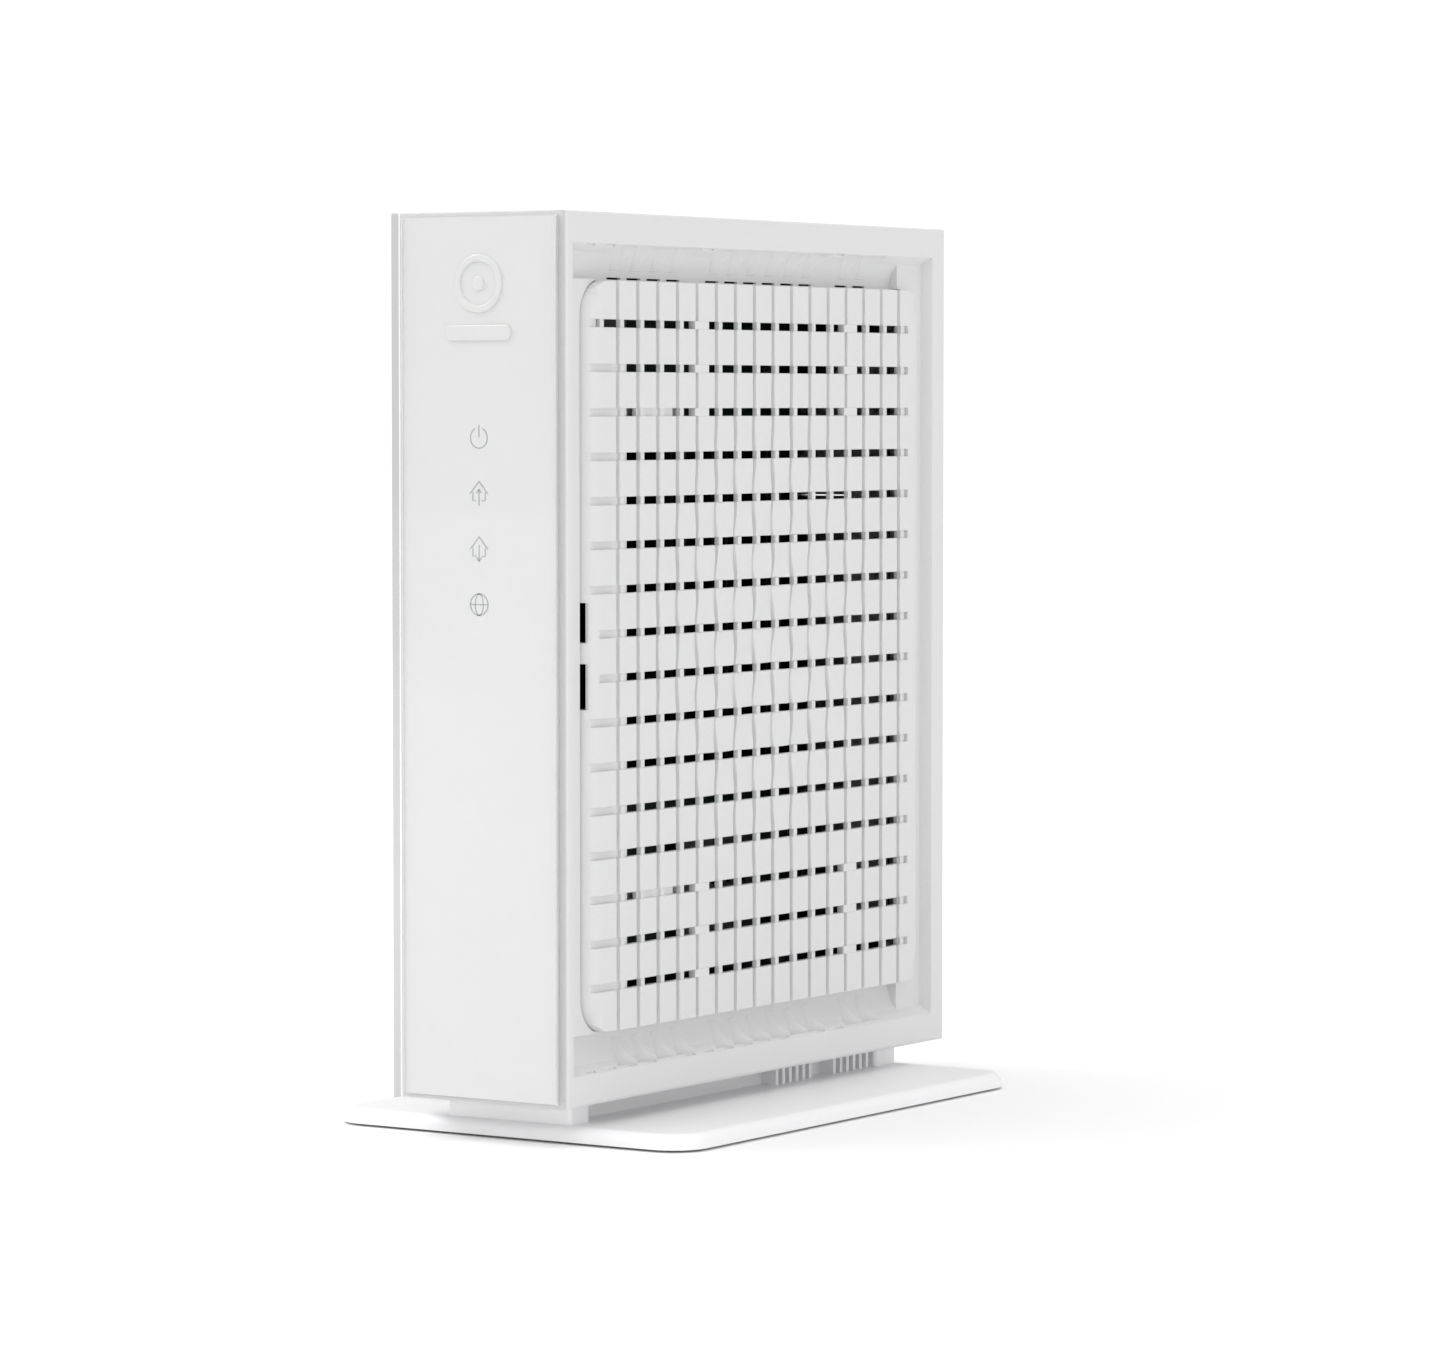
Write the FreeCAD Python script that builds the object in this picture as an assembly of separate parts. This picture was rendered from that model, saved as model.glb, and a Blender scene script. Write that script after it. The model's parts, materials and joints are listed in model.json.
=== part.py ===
import FreeCAD, Part
import os

# Upright wireless cable gateway on its stand, in millimetres.
# X is the width, Y runs from the glossy front (-Y) to the ports (+Y), Z is up.
# The origin is on the table, under the middle of the whole object.

V = FreeCAD.Vector

# ---- driving sizes -------------------------------------------------------
body_width = 46.0          # across the two vented sides
body_depth = 167.0         # front lens face to rear edge
body_height = 200.0
stand_lift = 9.0           # table to the underside of the body
shell_wall = 2.2
floor_wall = 2.0           # floor of the recess that carries a vent panel
corner_round = 1.0

lens_thickness = 3.0
lens_rim = 2.0             # clear border of the lens at its sides
lens_pocket = 1.6          # hollow in the back of the lens
carrier_thickness = 1.0
plug_half_width = 11.5     # carrier plug through the shell fronts
plug_bottom = 68.0         # above the underside of the body
plug_top = 172.0
plug_wall = 1.5
plug_length = 3.0

lip_front = 2.6            # flat bezel round each side recess
lip_rear = 6.2
lip_top = 7.0
lip_bottom = 7.0
recess_depth = 3.0         # bezel face to the recess floor
slope_front = 0.6          # how far each recess wall leans in by the floor
slope_rear = 0.7
slope_ends = 1.9
seat_depth = 4.5           # bezel face to the seat of the vent panel
seat_clearance = 0.3
scoop_depth = 5.4          # deepest line of the long scoops above and below the panel
scoop_end_gap = 8.1        # rear end of a scoop to the end of the panel's outline

panel_face_depth = 136.2   # flat face of the vent panel along Y
panel_face_height = 169.0
panel_centre_from_front = 85.0
panel_centre_height = 100.3
panel_edge_round = 4.0
panel_corner_round = 8.0
panel_sunk = 0.4           # vent face below the bezel
panel_skin = 1.9
panel_wall = 2.0

groove_count = 16
groove_pitch = 8.108
groove_width = 1.4
groove_depth = 1.2
slot_count = 16
slot_pitch = 9.951
slot_height = 1.8
slot_centre_height = 100.55
web_thickness = 1.5
web_offset = 2.2           # web middle behind the groove's middle
web_sunk = 0.4
web_depth = 1.6            # how far a web reaches back from the face
blind_length_front = 14.0  # slot lengths closed from behind at the panel's two sides
blind_length_rear = 6.0
blind_skin = 1.0
window_inset = 6.0         # seat left standing inside the panel outline
side_window_heights = ((88.7, 99.0), (103.7, 112.7))    # above the underside of the body

stand_width = 99.0
stand_depth = 146.0
stand_plate = 3.4
stand_corner = 9.0
stand_edge_round = 2.6
foot_radius = 5.0
foot_pocket = 0.8
foot_height = 1.4
foot_inset = 15.0
seat_gap = 0.2             # body over the pedestal

pcb_thickness = 1.6
pcb_face_x = -11.0         # component side
pcb_front_gap = 3.5        # inside of the front wall to the board
pcb_rear_gap = 0.7         # board to the rear panel
pcb_bottom = 12.0          # above the underside of the body
pcb_height = 171.0

port_recess = 10.0         # rear panel behind the rear edge
rear_panel_thickness = 2.0
rear_panel_clearance = 0.2
port_clearance = 0.3

past = 1.0                 # cutting tools run this far past a face
bite = 0.2                 # overlap of shapes that are joined into one piece
thread_radius = 1.25       # pilot hole of every small screw
screw_shank_radius = 1.2
screw_head_radius = 2.6
screw_head_height = 1.6
screw_clearance_radius = 1.7
drive_size = 0.9           # radius and depth of the drive hole in a screw's head
screw_depth = 8.0
screw_seat_x = 6.0         # screw heads sit this deep into the left pillars, from X = 0
pcb_screw_depth = 5.0
boss_radius = 3.6
slip_gap = 0.3

# ---- places worked out from the driving sizes -----------------------------
half_width = body_width / 2
front_y = -body_depth / 2
rear_y = body_depth / 2
shell_front_y = front_y + lens_thickness
bottom_z = stand_lift
top_z = stand_lift + body_height
inner_front_y = shell_front_y + shell_wall
inner_bottom_z = bottom_z + shell_wall
inner_top_z = top_z - shell_wall
recess_x = half_width - recess_depth
floor_x = half_width - seat_depth
cavity_x = floor_x - floor_wall
panel_face_x = half_width - panel_sunk
panel_y = front_y + panel_centre_from_front
panel_z = bottom_z + panel_centre_height
panel_y0 = panel_y - panel_face_depth / 2 - panel_edge_round
panel_y1 = panel_y + panel_face_depth / 2 + panel_edge_round
panel_z0 = panel_z - panel_face_height / 2
panel_z1 = panel_z + panel_face_height / 2
window_y0 = panel_y0 + window_inset
window_y1 = panel_y1 - window_inset
window_z0 = panel_z0 + window_inset
window_z1 = panel_z1 - window_inset
slot_z = bottom_z + slot_centre_height
pcb_back_x = pcb_face_x - pcb_thickness
pcb_front_y = inner_front_y + pcb_front_gap
pcb_z0 = bottom_z + pcb_bottom
pcb_z1 = pcb_z0 + pcb_height
port_face_y = rear_y - port_recess
rear_panel_y = port_face_y - rear_panel_thickness
pcb_rear_y = rear_panel_y - pcb_rear_gap
carrier_back_y = shell_front_y
carrier_front_y = carrier_back_y - carrier_thickness

os.makedirs("parts", exist_ok=True)


# ---- small helpers ---------------------------------------------------------
def box(x0, x1, y0, y1, z0, z1):
    return Part.makeBox(x1 - x0, y1 - y0, z1 - z0, V(x0, y0, z0))


def rod(radius, length, start, direction):
    return Part.makeCylinder(radius, length, V(*start), V(*direction))


def join(shapes):
    whole = shapes[0]
    if len(shapes) > 1:
        whole = whole.multiFuse(shapes[1:])
    return whole.removeSplitter()


def cut_all(shape, tools):
    return shape.cut(Part.makeCompound(tools))


def edges_along(shape, axis):
    picked = []
    for edge in shape.Edges:
        if len(edge.Vertexes) != 2:
            continue
        run = edge.Vertexes[1].Point - edge.Vertexes[0].Point
        length = run.Length
        along = abs((run.x, run.y, run.z)[axis])
        if length > 0 and abs(along - length) < 1e-6:
            picked.append(edge)
    return picked


def round_along(shape, radius, axis):
    return shape.makeFillet(radius, edges_along(shape, axis))


def round_face_rim(shape, radius, axis, level):
    rim = []
    for edge in shape.Edges:
        places = [(v.Point.x, v.Point.y, v.Point.z)[axis] for v in edge.Vertexes]
        if all(abs(place - level) < 1e-6 for place in places):
            rim.append(edge)
    return shape.makeFillet(radius, rim)


def rectangle_at_x(x, y0, y1, z0, z1):
    return Part.makePolygon([V(x, y0, z0), V(x, y1, z0), V(x, y1, z1), V(x, y0, z1), V(x, y0, z0)])


def flare(x0, rect0, x1, rect1):
    return Part.makeLoft([rectangle_at_x(x0, *rect0), rectangle_at_x(x1, *rect1)], True, True)


def mirrored(shape):
    return shape.mirror(V(0, 0, 0), V(1, 0, 0))


def save(name, shapes):
    solids = shapes if isinstance(shapes, list) else [shapes]
    pieces = []
    for shape in solids:
        pieces.extend(shape.Solids)
    result = pieces[0] if len(pieces) == 1 else Part.makeCompound(pieces)
    result.exportStep("parts/" + name + ".step")


# ---- stand -----------------------------------------------------------------
stand_bottom_z = foot_height - foot_pocket
stand_top_z = stand_bottom_z + stand_plate
pedestal_top_z = bottom_z - seat_gap
pedestal_half_width = 17.0
spine_half_width = 12.0
block_inset = 2.5          # plate edge to the end block of the pedestal
front_block_length = 7.9
rear_block_length = 9.5
block_round = 1.0
front_block = (block_inset - stand_depth / 2, block_inset - stand_depth / 2 + front_block_length)
rear_block = (stand_depth / 2 - block_inset - rear_block_length, stand_depth / 2 - block_inset)
spine_drop = 0.6           # spine and ribs below the top of the end blocks
rib_inset = 1.0
foot_fit = 0.1
rib_groups = (17.0, 43.0)
ribs_in_group = 6
rib_pitch = 3.0
rib_width = 1.2
tongue_places = (-48.0, 46.0)
tongue_half_width = 5.0
tongue_half_depth = 2.0
tongue_rise = 5.0


def foot_places():
    x = stand_width / 2 - foot_inset
    y = stand_depth / 2 - foot_inset
    return [(sx * x, sy * y) for sx in (-1, 1) for sy in (-1, 1)]


def stand_base():
    plate = box(-stand_width / 2, stand_width / 2, -stand_depth / 2, stand_depth / 2,
                stand_bottom_z, stand_top_z)
    plate = round_along(plate, stand_corner, 2)
    plate = round_face_rim(plate, stand_edge_round, 2, stand_top_z)
    sink = stand_top_z - past
    rib_top = pedestal_top_z - spine_drop
    rib_half_width = pedestal_half_width - rib_inset
    parts = [plate]
    for y0, y1 in (front_block, rear_block):
        block = box(-pedestal_half_width, pedestal_half_width, y0, y1, sink, pedestal_top_z)
        parts.append(round_along(block, block_round, 2))
    parts.append(box(-spine_half_width, spine_half_width, front_block[1] - past,
                     rear_block[0] + past, sink, rib_top))
    for start in rib_groups:
        for index in range(ribs_in_group):
            y = start + index * rib_pitch
            parts.append(box(-rib_half_width, rib_half_width, y, y + rib_width, sink, rib_top))
    for y in tongue_places:
        tongue = box(-tongue_half_width, tongue_half_width, y - tongue_half_depth,
                     y + tongue_half_depth, sink, bottom_z + tongue_rise)
        parts.append(tongue)
    stand = join(parts)
    pockets = [rod(foot_radius + foot_fit, foot_pocket, (x, y, stand_bottom_z), (0, 0, 1))
               for x, y in foot_places()]
    return cut_all(stand, pockets)


def stand_feet():
    return [rod(foot_radius, foot_height, (x, y, 0), (0, 0, 1)) for x, y in foot_places()]


save("stand_base", stand_base())
save("stand_feet", stand_feet())

# ---- side shells -------------------------------------------------------------
screw_inset = 0.2
boss_gap = 0.5             # between a pillar and the rear panel
front_screw_y = window_y0 + screw_inset
rear_screw_y = min(window_y1 - screw_inset, rear_panel_y - boss_radius - boss_gap)
housing_screw_places = [(y, z)
                        for y in (front_screw_y, rear_screw_y)
                        for z in (window_z0 + screw_inset, window_z1 - screw_inset)]
pcb_screw_inset = 14.0
pcb_screw_outset = 1.0
pcb_screw_places = [(y, z)
                    for y in (window_y0 - pcb_screw_outset, window_y1 - pcb_screw_inset)
                    for z in (window_z0 + pcb_screw_inset, window_z1 - pcb_screw_inset)]
bar_half_height = 2.5
bar_rows = (2, slot_count - 3)
bar_end_grooves = 3.7      # end of a crossbar, in grooves from the panel's middle
bar_end_y = panel_y - bar_end_grooves * groove_pitch
column_groups = ((0, 4), (5, 11), (12, 14))
dash_length = 3.8
dash_height = 0.8
dash_depth = 0.3
dash_down = 0.3            # place of the marks, as a share of the sloping wall
dash_offset = 10.8
exhaust_length = 5.5
exhaust_height = 0.5
exhaust_offset = 5.4
hollow_radius = 6.0        # half-pipe hollows that lead up from the openings
hollow_depth = 0.6
hollow_reach = 7.0
hollow_lean = 0.39
panel_screw_inset = 6.0
panel_screw_z = (bottom_z + panel_screw_inset, top_z - panel_screw_inset)
ledge_depth = 6.0          # solid corners that take the rear panel's screws
ledge_width = 6.0
ledge_reach = 3.6          # ledge past its screw's middle
ledge_bite = 0.5


def groove_places():
    first = panel_y - (groove_count - 1) * groove_pitch / 2
    return [first + index * groove_pitch for index in range(groove_count)]


def slot_places():
    top = slot_z + (slot_count - 1) * slot_pitch / 2
    return [top - index * slot_pitch for index in range(slot_count)]


def side_recess():
    lip = (shell_front_y + lip_front, rear_y - lip_rear, bottom_z + lip_bottom, top_z - lip_top)
    foot = (lip[0] + slope_front, lip[1] - slope_rear, lip[2] + slope_ends, lip[3] - slope_ends)
    seat = box(floor_x, half_width, panel_y0 - seat_clearance, panel_y1 + seat_clearance,
               panel_z0 - seat_clearance, panel_z1 + seat_clearance)
    seat = round_along(seat, panel_corner_round + seat_clearance, 0)
    tools = [flare(half_width, lip, recess_x, foot), seat]
    tools.append(scoop(panel_z1 + seat_clearance, foot[3], foot[0]))
    tools.append(scoop(panel_z0 - seat_clearance, foot[2], foot[0]))
    return tools


def scoop(deep_z, shallow_z, start_y):
    # a long hollow of circular section, deepest beside the panel and running out at the recess wall
    deep_x = half_width - scoop_depth
    drop = recess_x - deep_x
    span = abs(shallow_z - deep_z)
    radius = (span * span + drop * drop) / (2 * drop)
    length = panel_y1 - scoop_end_gap - start_y
    round_cut = rod(radius, length, (deep_x + radius, start_y, deep_z), (0, 1, 0))
    return round_cut.common(box(deep_x - past, half_width, start_y, start_y + length,
                                min(deep_z, shallow_z), max(deep_z, shallow_z)))


def exhaust_slots():
    # short openings through the deep line of each scoop, in line with the panel's columns
    tools = []
    grooves = groove_places()
    rim = panel_z1 + seat_clearance
    for low in (rim, 2 * panel_z - rim - exhaust_height):
        for first, last in column_groups:
            for index in range(first, last):
                y = grooves[index] + exhaust_offset
                tools.append(box(cavity_x - past, recess_x, y - exhaust_length / 2,
                                 y + exhaust_length / 2, low, low + exhaust_height))
    return tools


def exhaust_hollows():
    # a half-pipe hollow at each opening, which runs out up the slope of its scoop
    tools = []
    grooves = groove_places()
    rim = panel_z1 + seat_clearance
    x = half_width - scoop_depth - hollow_depth + hollow_radius
    for start, way in ((rim, 1), (2 * panel_z - rim, -1)):
        for first, last in column_groups:
            for index in range(first, last):
                y = grooves[index] + exhaust_offset
                tools.append(rod(hollow_radius, hollow_reach, (x, y, start), (hollow_lean, 0, way)))
    return tools


def seat_windows():
    # openings in the seat behind the windows in the panel's front edge
    return [box(cavity_x - past, floor_x + past, panel_y0 + seat_clearance, window_y0 + past,
                bottom_z + low, bottom_z + high) for low, high in side_window_heights]


def ledge_dashes():
    # shallow marks on the sloping walls of the recess
    tools = []
    grooves = groove_places()
    slope_z = lip_top + slope_ends * dash_down
    x = half_width - recess_depth * dash_down
    for level in (bottom_z + slope_z, top_z - slope_z):
        for first, last in column_groups:
            for index in range(first, last):
                y = grooves[index] - dash_offset
                tools.append(box(x - dash_depth, half_width, y - dash_length / 2,
                                 y + dash_length / 2, level - dash_height / 2,
                                 level + dash_height / 2))
    return tools


def shell_blank():
    shell = box(0, half_width, shell_front_y, rear_y, bottom_z, top_z)
    shell = round_face_rim(shell, corner_round, 0, half_width)
    tools = side_recess()
    tools.append(box(-past, cavity_x, inner_front_y, rear_y + past, inner_bottom_z, inner_top_z))
    tools.append(box(cavity_x - past, floor_x + past, window_y0, window_y1, window_z0, window_z1))
    tools.append(box(-past, plug_half_width, shell_front_y - past, inner_front_y + past,
                     bottom_z + plug_bottom, bottom_z + plug_top))
    for y in tongue_places:
        tools.append(box(-past, tongue_half_width + slip_gap, y - tongue_half_depth - slip_gap,
                         y + tongue_half_depth + slip_gap, bottom_z - past, inner_bottom_z + past))
    tools.extend(ledge_dashes())
    tools.extend(exhaust_slots())
    tools.extend(exhaust_hollows())
    tools.extend(seat_windows())
    return cut_all(shell, tools)


def rear_panel_bosses():
    ledge_y = rear_panel_y - ledge_depth
    bottom = box(0, ledge_width, ledge_y, rear_panel_y, inner_bottom_z - ledge_bite,
                 panel_screw_z[0] + ledge_reach)
    top = box(0, ledge_width, ledge_y, rear_panel_y, panel_screw_z[1] - ledge_reach,
              inner_top_z + ledge_bite)
    return [bottom, top]


def rear_panel_screw_holes():
    return [rod(thread_radius, ledge_depth, (0, rear_panel_y, z), (0, -1, 0)) for z in panel_screw_z]


def crossbars():
    rows = slot_places()
    bars = []
    for row in bar_rows:
        bars.append(box(cavity_x, floor_x, window_y0 - past, bar_end_y,
                        rows[row] - bar_half_height, rows[row] + bar_half_height))
    return bars


def right_shell():
    parts = [shell_blank()]
    parts.extend(crossbars())
    for y, z in housing_screw_places:
        parts.append(rod(boss_radius, floor_x, (0, y, z), (1, 0, 0)))
    parts.extend(rear_panel_bosses())
    holes = [rod(thread_radius, screw_depth + 2 * past, (-bite, y, z), (1, 0, 0))
             for y, z in housing_screw_places]
    holes.extend(rear_panel_screw_holes())
    return cut_all(join(parts), holes)


def left_shell():
    parts = [mirrored(shell_blank())]
    for y, z in housing_screw_places:
        parts.append(rod(boss_radius, floor_x, (-floor_x, y, z), (1, 0, 0)))
    for y, z in pcb_screw_places:
        parts.append(rod(boss_radius, pcb_back_x + floor_x, (-floor_x, y, z), (1, 0, 0)))
    parts.extend([mirrored(boss) for boss in rear_panel_bosses()])
    holes = []
    for y, z in housing_screw_places:
        holes.append(rod(screw_clearance_radius, half_width, (-half_width, y, z), (1, 0, 0)))
        holes.append(rod(screw_head_radius + slip_gap, half_width - screw_seat_x,
                         (-half_width, y, z), (1, 0, 0)))
    for y, z in pcb_screw_places:
        holes.append(rod(thread_radius, pcb_screw_depth, (pcb_back_x, y, z), (-1, 0, 0)))
    holes.extend(rear_panel_screw_holes())
    return cut_all(join(parts), holes)


def screw(seat, direction, length):
    head = rod(screw_head_radius, screw_head_height, seat, [-step for step in direction])
    shank = rod(screw_shank_radius, length, seat, direction)
    drive_start = [seat[i] - direction[i] * screw_head_height for i in range(3)]
    drive = rod(drive_size, drive_size, drive_start, direction)
    return join([head, shank]).cut(drive)


def housing_screws():
    return [screw((-screw_seat_x, y, z), (1, 0, 0), screw_seat_x + screw_depth)
            for y, z in housing_screw_places]


save("right_shell", right_shell())
save("left_shell", left_shell())
save("housing_screws", housing_screws())

# ---- vent panels ---------------------------------------------------------------
closed_rows = (0, 1, 2, slot_count - 3, slot_count - 2, slot_count - 1)
closed_grooves = (4, 12)
closed_offset = 2.1
closed_length = 5.8
closed_skin = 0.15
square_rows = (7, 8)
slot_start_share = 0.65    # slots start this share of the edge rounding before the flat face
slot_end_inset = 2.8
side_window_reach = 2.7
back_reach = 1.5           # skins behind the blind slots, past the flat face
bar_skin_grooves = (2, 4)
bridge_back = 0.3


def slot_ends(row):
    start = panel_y - panel_face_depth / 2 - slot_start_share * panel_edge_round
    if row in square_rows:
        start = panel_y - panel_face_depth / 2
    return start, panel_y + panel_face_depth / 2 - slot_end_inset


def panel_block(inset, top_x):
    # flat at its top and bottom edges, rounded along its two upright edges
    y0 = panel_y0 + inset
    y1 = panel_y1 - inset
    z0 = panel_z0 + inset
    z1 = panel_z1 - inset
    block = box(floor_x, top_x, y0, y1, z0, z1)
    upright = []
    for edge in edges_along(block, 2):
        if edge.Vertexes[0].Point.x > floor_x + past:
            upright.append(edge)
    radius = min(panel_edge_round, top_x - floor_x - bite / 2)
    block = block.makeFillet(radius, upright)
    outline = round_along(box(floor_x - past, top_x + past, y0, y1, z0, z1),
                          panel_corner_round - inset, 0)
    return block.common(outline)


def side_windows():
    return [box(floor_x - past, floor_x + side_window_reach, panel_y0 - past,
                panel_y0 + panel_wall + past, bottom_z + low, bottom_z + high)
            for low, high in side_window_heights]


def vent_panel():
    shell = panel_block(0, panel_face_x)
    hollow = panel_block(panel_wall, panel_face_x - panel_skin)
    tools = [hollow]
    for y in groove_places():
        tools.append(box(panel_face_x - groove_depth, half_width, y - groove_width / 2,
                         y + groove_width / 2, panel_z0 - past, panel_z1 + past))
    for row, z in enumerate(slot_places()):
        y0, y1 = slot_ends(row)
        tools.append(box(panel_face_x - panel_skin - past, half_width, y0, y1,
                         z - slot_height / 2, z + slot_height / 2))
    panel = cut_all(shell, tools + side_windows())
    return join([panel] + panel_webs() + slot_backs())


def panel_webs():
    webs = []
    for y in groove_places():
        middle = y + web_offset
        webs.append(box(panel_face_x - web_depth, panel_face_x - web_sunk,
                        middle - web_thickness / 2, middle + web_thickness / 2,
                        panel_z0 + panel_wall - bite, panel_z1 - panel_wall + bite))
    return webs


def slot_backs():
    # the skins that close some slots from behind, and the short flush bridges
    z0 = panel_z0 + panel_wall - bite
    z1 = panel_z1 - panel_wall + bite
    back_x = panel_face_x - panel_skin - blind_skin
    seat_x = panel_face_x - panel_skin + bite / 2
    face_y0 = panel_y - panel_face_depth / 2
    face_y1 = panel_y + panel_face_depth / 2
    rows = slot_places()
    first_row_floor = rows[0] - slot_height
    backs = [box(back_x, seat_x, face_y0 - back_reach, face_y0 + blind_length_front, z0,
                 first_row_floor),
             box(back_x, seat_x, face_y1 - blind_length_rear, face_y1 + back_reach, z0, z1)]
    grooves = groove_places()
    bar_skin_start, bar_skin_end = [grooves[index] for index in bar_skin_grooves]
    for row in bar_rows:
        z = rows[row]
        backs.append(box(back_x, seat_x, bar_skin_start, bar_skin_end, z - slot_height,
                         z + slot_height))
    for row in closed_rows:
        z = rows[row]
        for index in closed_grooves:
            middle = grooves[index] + closed_offset
            backs.append(box(panel_face_x - panel_skin - bridge_back,
                             panel_face_x - groove_depth - closed_skin,
                             middle - closed_length / 2, middle + closed_length / 2,
                             z - slot_height / 2 - bite, z + slot_height / 2 + bite))
    return backs


right_panel = vent_panel()
save("right_vent_panel", right_panel)
save("left_vent_panel", mirrored(right_panel))

# ---- front ----------------------------------------------------------------------
emblem_z = 184.0
emblem_radius = 6.6
emblem_band = 1.7
emblem_height = 0.5
emblem_edge_round = 0.4
bar_z = 173.0
bar_half_length = 9.0
bar_half_width = 1.8
bar_round = 1.6
lens_inset = 0.1           # lens edge inside the shells' sides
lens_edge_round = 0.4
carrier_gap = 0.1          # carrier inside the lens's pocket
indicator_top = 162.0
indicator_pitch = 12.43
indicator_steps = (0, 1, 2, 3, 4, 5, 7)


def indicator_places():
    return [bottom_z + indicator_top - step * indicator_pitch for step in indicator_steps]


def front_lens():
    x = half_width - lens_inset
    lens = box(-x, x, front_y, shell_front_y, bottom_z, top_z)
    lens = round_face_rim(lens, lens_edge_round, 1, front_y)
    pocket = box(-half_width + lens_rim, half_width - lens_rim, shell_front_y - lens_pocket,
                 shell_front_y + past, bottom_z + lens_rim / 2, top_z - lens_rim / 2)
    return lens.cut(pocket)


def front_carrier():
    x = half_width - lens_rim - carrier_gap
    end = lens_rim / 2 + carrier_gap
    plate = box(-x, x, carrier_front_y, carrier_back_y, bottom_z + end, top_z - end)
    px = plug_half_width - slip_gap / 2
    pz0 = bottom_z + plug_bottom + slip_gap / 2
    pz1 = bottom_z + plug_top - slip_gap / 2
    plug = box(-px, px, carrier_back_y, carrier_back_y + plug_length, pz0, pz1)
    inside = box(-px + plug_wall, px - plug_wall, carrier_back_y, carrier_back_y + plug_length + past,
                 pz0 + plug_wall, pz1 - plug_wall)
    return join([plate, plug.cut(inside)] + emblem())


def emblem():
    # a plain ring round a dot, over a plain bar, with softly rounded edges
    level = carrier_front_y - emblem_height
    centre = (0, carrier_front_y, bottom_z + emblem_z)
    ring = rod(emblem_radius, emblem_height, centre, (0, -1, 0))
    ring = ring.cut(rod(emblem_radius - emblem_band, emblem_height + past, centre, (0, -1, 0)))
    dot = rod(emblem_band, emblem_height, centre, (0, -1, 0))
    z = bottom_z + bar_z
    bar = box(-bar_half_length, bar_half_length, level, carrier_front_y,
              z - bar_half_width, z + bar_half_width)
    bar = round_along(bar, bar_round, 1)
    return [round_face_rim(mark, emblem_edge_round, 1, level) for mark in (ring, dot, bar)]


guide_x0 = -9.6
guide_rail = 2.0
guide_half_height = 1.8
guide_thickness = 2.4
guide_gap = 0.1            # behind the carrier's plug
guide_tip_gap = 0.2        # behind the carrier's face
guide_bite = 0.5


def light_guide():
    back_y = carrier_back_y + plug_length + guide_gap
    places = indicator_places()
    parts = [box(guide_x0, guide_x0 + guide_rail, back_y, back_y + guide_thickness,
                 min(places) - guide_half_height, max(places) + guide_half_height)]
    for z in places:
        parts.append(box(guide_x0, guide_half_height, back_y, back_y + guide_thickness,
                         z - guide_half_height, z + guide_half_height))
        parts.append(box(-guide_half_height, guide_half_height, carrier_back_y + guide_tip_gap,
                         back_y + guide_bite, z - guide_half_height, z + guide_half_height))
    return join(parts)


save("front_lens", front_lens())
save("front_carrier", front_carrier())
save("light_guide", light_guide())

# ---- mainboard ---------------------------------------------------------------------
soc_from_panel = 1.5       # along Y, from the middle of the vent panel
soc_centre = (panel_y + soc_from_panel, bottom_z + 109.0)
soc_size = 27.0
soc_height = 1.6
pad_size = 25.0
pad_height = 0.6
sink_depth = 66.0
sink_height = 84.0
sink_base = 3.0
sink_fin_height = 15.0
sink_fin_thickness = 1.3
sink_fin_count = 12
sink_screw_offset = (28.0, 37.0)
sink_screw_clearance = 1.2
nut_radius = 2.4
nut_height = 1.2
pcb_hole_radius = 1.5
pcb_corner = 2.0
pillar_gap = 0.6           # board to the housing's pillars
board_screw_tip_gap = 0.4


def on_board(height, y0, y1, z0, z1):
    return box(pcb_face_x, pcb_face_x + height, y0, y1, z0, z1)


def sink_screw_places():
    dy, dz = sink_screw_offset
    return [(soc_centre[0] - dy, soc_centre[1] + dz), (soc_centre[0] + dy, soc_centre[1] - dz)]


def mainboard():
    board = box(pcb_back_x, pcb_face_x, pcb_front_y, pcb_rear_y, pcb_z0, pcb_z1)
    board = round_along(board, pcb_corner, 0)
    length = pcb_thickness + 2 * past
    places = [(pcb_hole_radius, place) for place in pcb_screw_places + sink_screw_places()]
    places += [(boss_radius + pillar_gap, place) for place in housing_screw_places]
    holes = [rod(radius, length, (pcb_back_x - past, y, z), (1, 0, 0)) for radius, (y, z) in places]
    return cut_all(board, holes)


def board_screws():
    length = pcb_thickness + pcb_screw_depth - board_screw_tip_gap
    return [screw((pcb_face_x, y, z), (-1, 0, 0), length) for y, z in pcb_screw_places]


sink_foot_x = pcb_face_x + soc_height + pad_height


def soc_chip():
    y, z = soc_centre
    return on_board(soc_height, y - soc_size / 2, y + soc_size / 2, z - soc_size / 2, z + soc_size / 2)


def thermal_pad():
    y, z = soc_centre
    return box(pcb_face_x + soc_height, sink_foot_x, y - pad_size / 2, y + pad_size / 2,
               z - pad_size / 2, z + pad_size / 2)


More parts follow.
